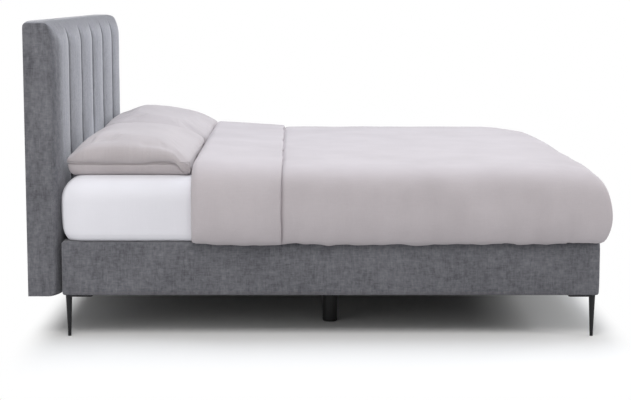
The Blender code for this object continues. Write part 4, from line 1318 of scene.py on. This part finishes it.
def makeStaples(node, axis, posts):
    # Staples round the edge of a cloth, on its low side
    form = fastenerForm
    low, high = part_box(node)
    across, along = [other for other in range(3) if other != axis]
    inset, pitch = form["stapleInset"], form["staplePitch"]
    corners = [(low[across] + inset, low[along] + inset), (high[across] - inset, low[along] + inset),
               (high[across] - inset, high[along] - inset), (low[across] + inset, high[along] - inset)]
    clearX, clearY = form["postClear"]
    places = []
    for start, end in zip(corners, corners[1:] + corners[:1]):
        run = Vector(end) - Vector(start)
        count = round(run.length / pitch)
        for step in range(count):
            at = Vector(start) + run * (step + 0.5) / count
            place, heading, out = Vector(), Vector(), Vector()
            place[across], place[along], place[axis] = at.x, at.y, low[axis]
            heading[across], heading[along] = run.normalized()
            out[axis] = -1
            if any(abs(place.x - x) < clearX and abs(place.y - y) < clearY for x, y in posts):
                continue
            side = out.cross(heading)
            turn = Matrix((heading, side, out)).transposed().to_4x4()
            tilt = form["stapleTilt"] * softNoise(at.x * 50, at.y * 50, low[axis])
            places.append(Matrix.Translation(place) @ turn @ Matrix.Rotation(tilt, 4, "Z"))
    newPiece(node + "_staples", repeatShape(makeStaple(), places), "zinc_steel")


def makeScrew():
    # A pan-head screw along Z: its head below 0 with a cross recess, a short shank above
    form = fastenerForm
    height, shank, top = form["headHeight"], form["shankRadius"], form["otherPlate"]
    profile = [(form["headRadius"] * out, height * up) for out, up in form["headOutline"]]
    profile += [(shank, 0), (shank, top), (0, top)]
    build = bmesh.new()
    verts = [build.verts.new((r, 0, z)) for r, z in profile]
    edges = [build.edges.new(pair) for pair in zip(verts, verts[1:])]
    bmesh.ops.spin(build, geom=verts + edges, cent=(0, 0, 0), axis=(0, 0, 1), angle=math.tau, steps=20)
    bmesh.ops.remove_doubles(build, verts=build.verts, dist=0.00002)
    bmesh.ops.recalc_face_normals(build, faces=build.faces)
    screw = addObject("screw", meshOf("screw", build))
    reach, width, depth = form["recessReach"], form["recessWidth"] / 2, form["recessDepth"]
    for a, b in ((reach, width), (width, reach)):
        hollowOut(screw, Vector((-a, -b, -height - 0.001)), Vector((a, b, -height + depth)))
    mesh = screw.data
    bpy.data.objects.remove(screw)
    return mesh


def makeScrews(template, node, places):
    # Screws up through the holes of one plate, each place on the plate's underside
    turned = []
    for x, y, z in places:
        spin = Matrix.Rotation(math.pi * softNoise(x * 31, y * 37, 1.0), 4, "Z")
        turned.append(Matrix.Translation((x, y, z)) @ spin)
    piece = newPiece(node + "_screws", repeatShape(template, turned), "zinc_steel")
    piece.data.set_sharp_from_angle(angle=math.radians(35))


def makeFasteners():
    form = fastenerForm
    for node in ("right_base_dust_cloth", "left_base_dust_cloth"):
        makeStaples(node, 2, legPosts)
    makeStaples("headboard_back_cloth", 0, [])
    screw = makeScrew()
    for node in nodes:
        low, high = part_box(node)
        middle = (low + high) / 2
        reach = (high - low) / 2 - Vector([form["holeInset"]] * 3)
        if node.endswith("_steel_leg"):
            end, side = (-1 if "head" in node else 1), (-1 if middle.y < 0 else 1)
            places = [(middle.x + a * reach.x, middle.y + b * reach.y, high.z - form["legPlate"])
                      for a, b in ((-end, side), (end, -side), (-end, -side))]
        elif node.endswith("_coupling_plate"):
            places = [(middle.x + a * reach.x, middle.y + b * reach.y, low.z)
                      for a in (-1, 1) for b in (-1, 1)]
        elif node.endswith("_strap"):
            quarter = (high.y - low.y) / 4
            places = [(x, middle.y + b * quarter, z) for b in (-1, 1)
                      for x, z in ((low.x + form["holeInset"], low.z),
                                   (high.x - form["holeInset"], high.z - form["otherPlate"]))]
        else:
            continue
        makeScrews(screw, node, places)


makeFasteners()
print("fasteners made")
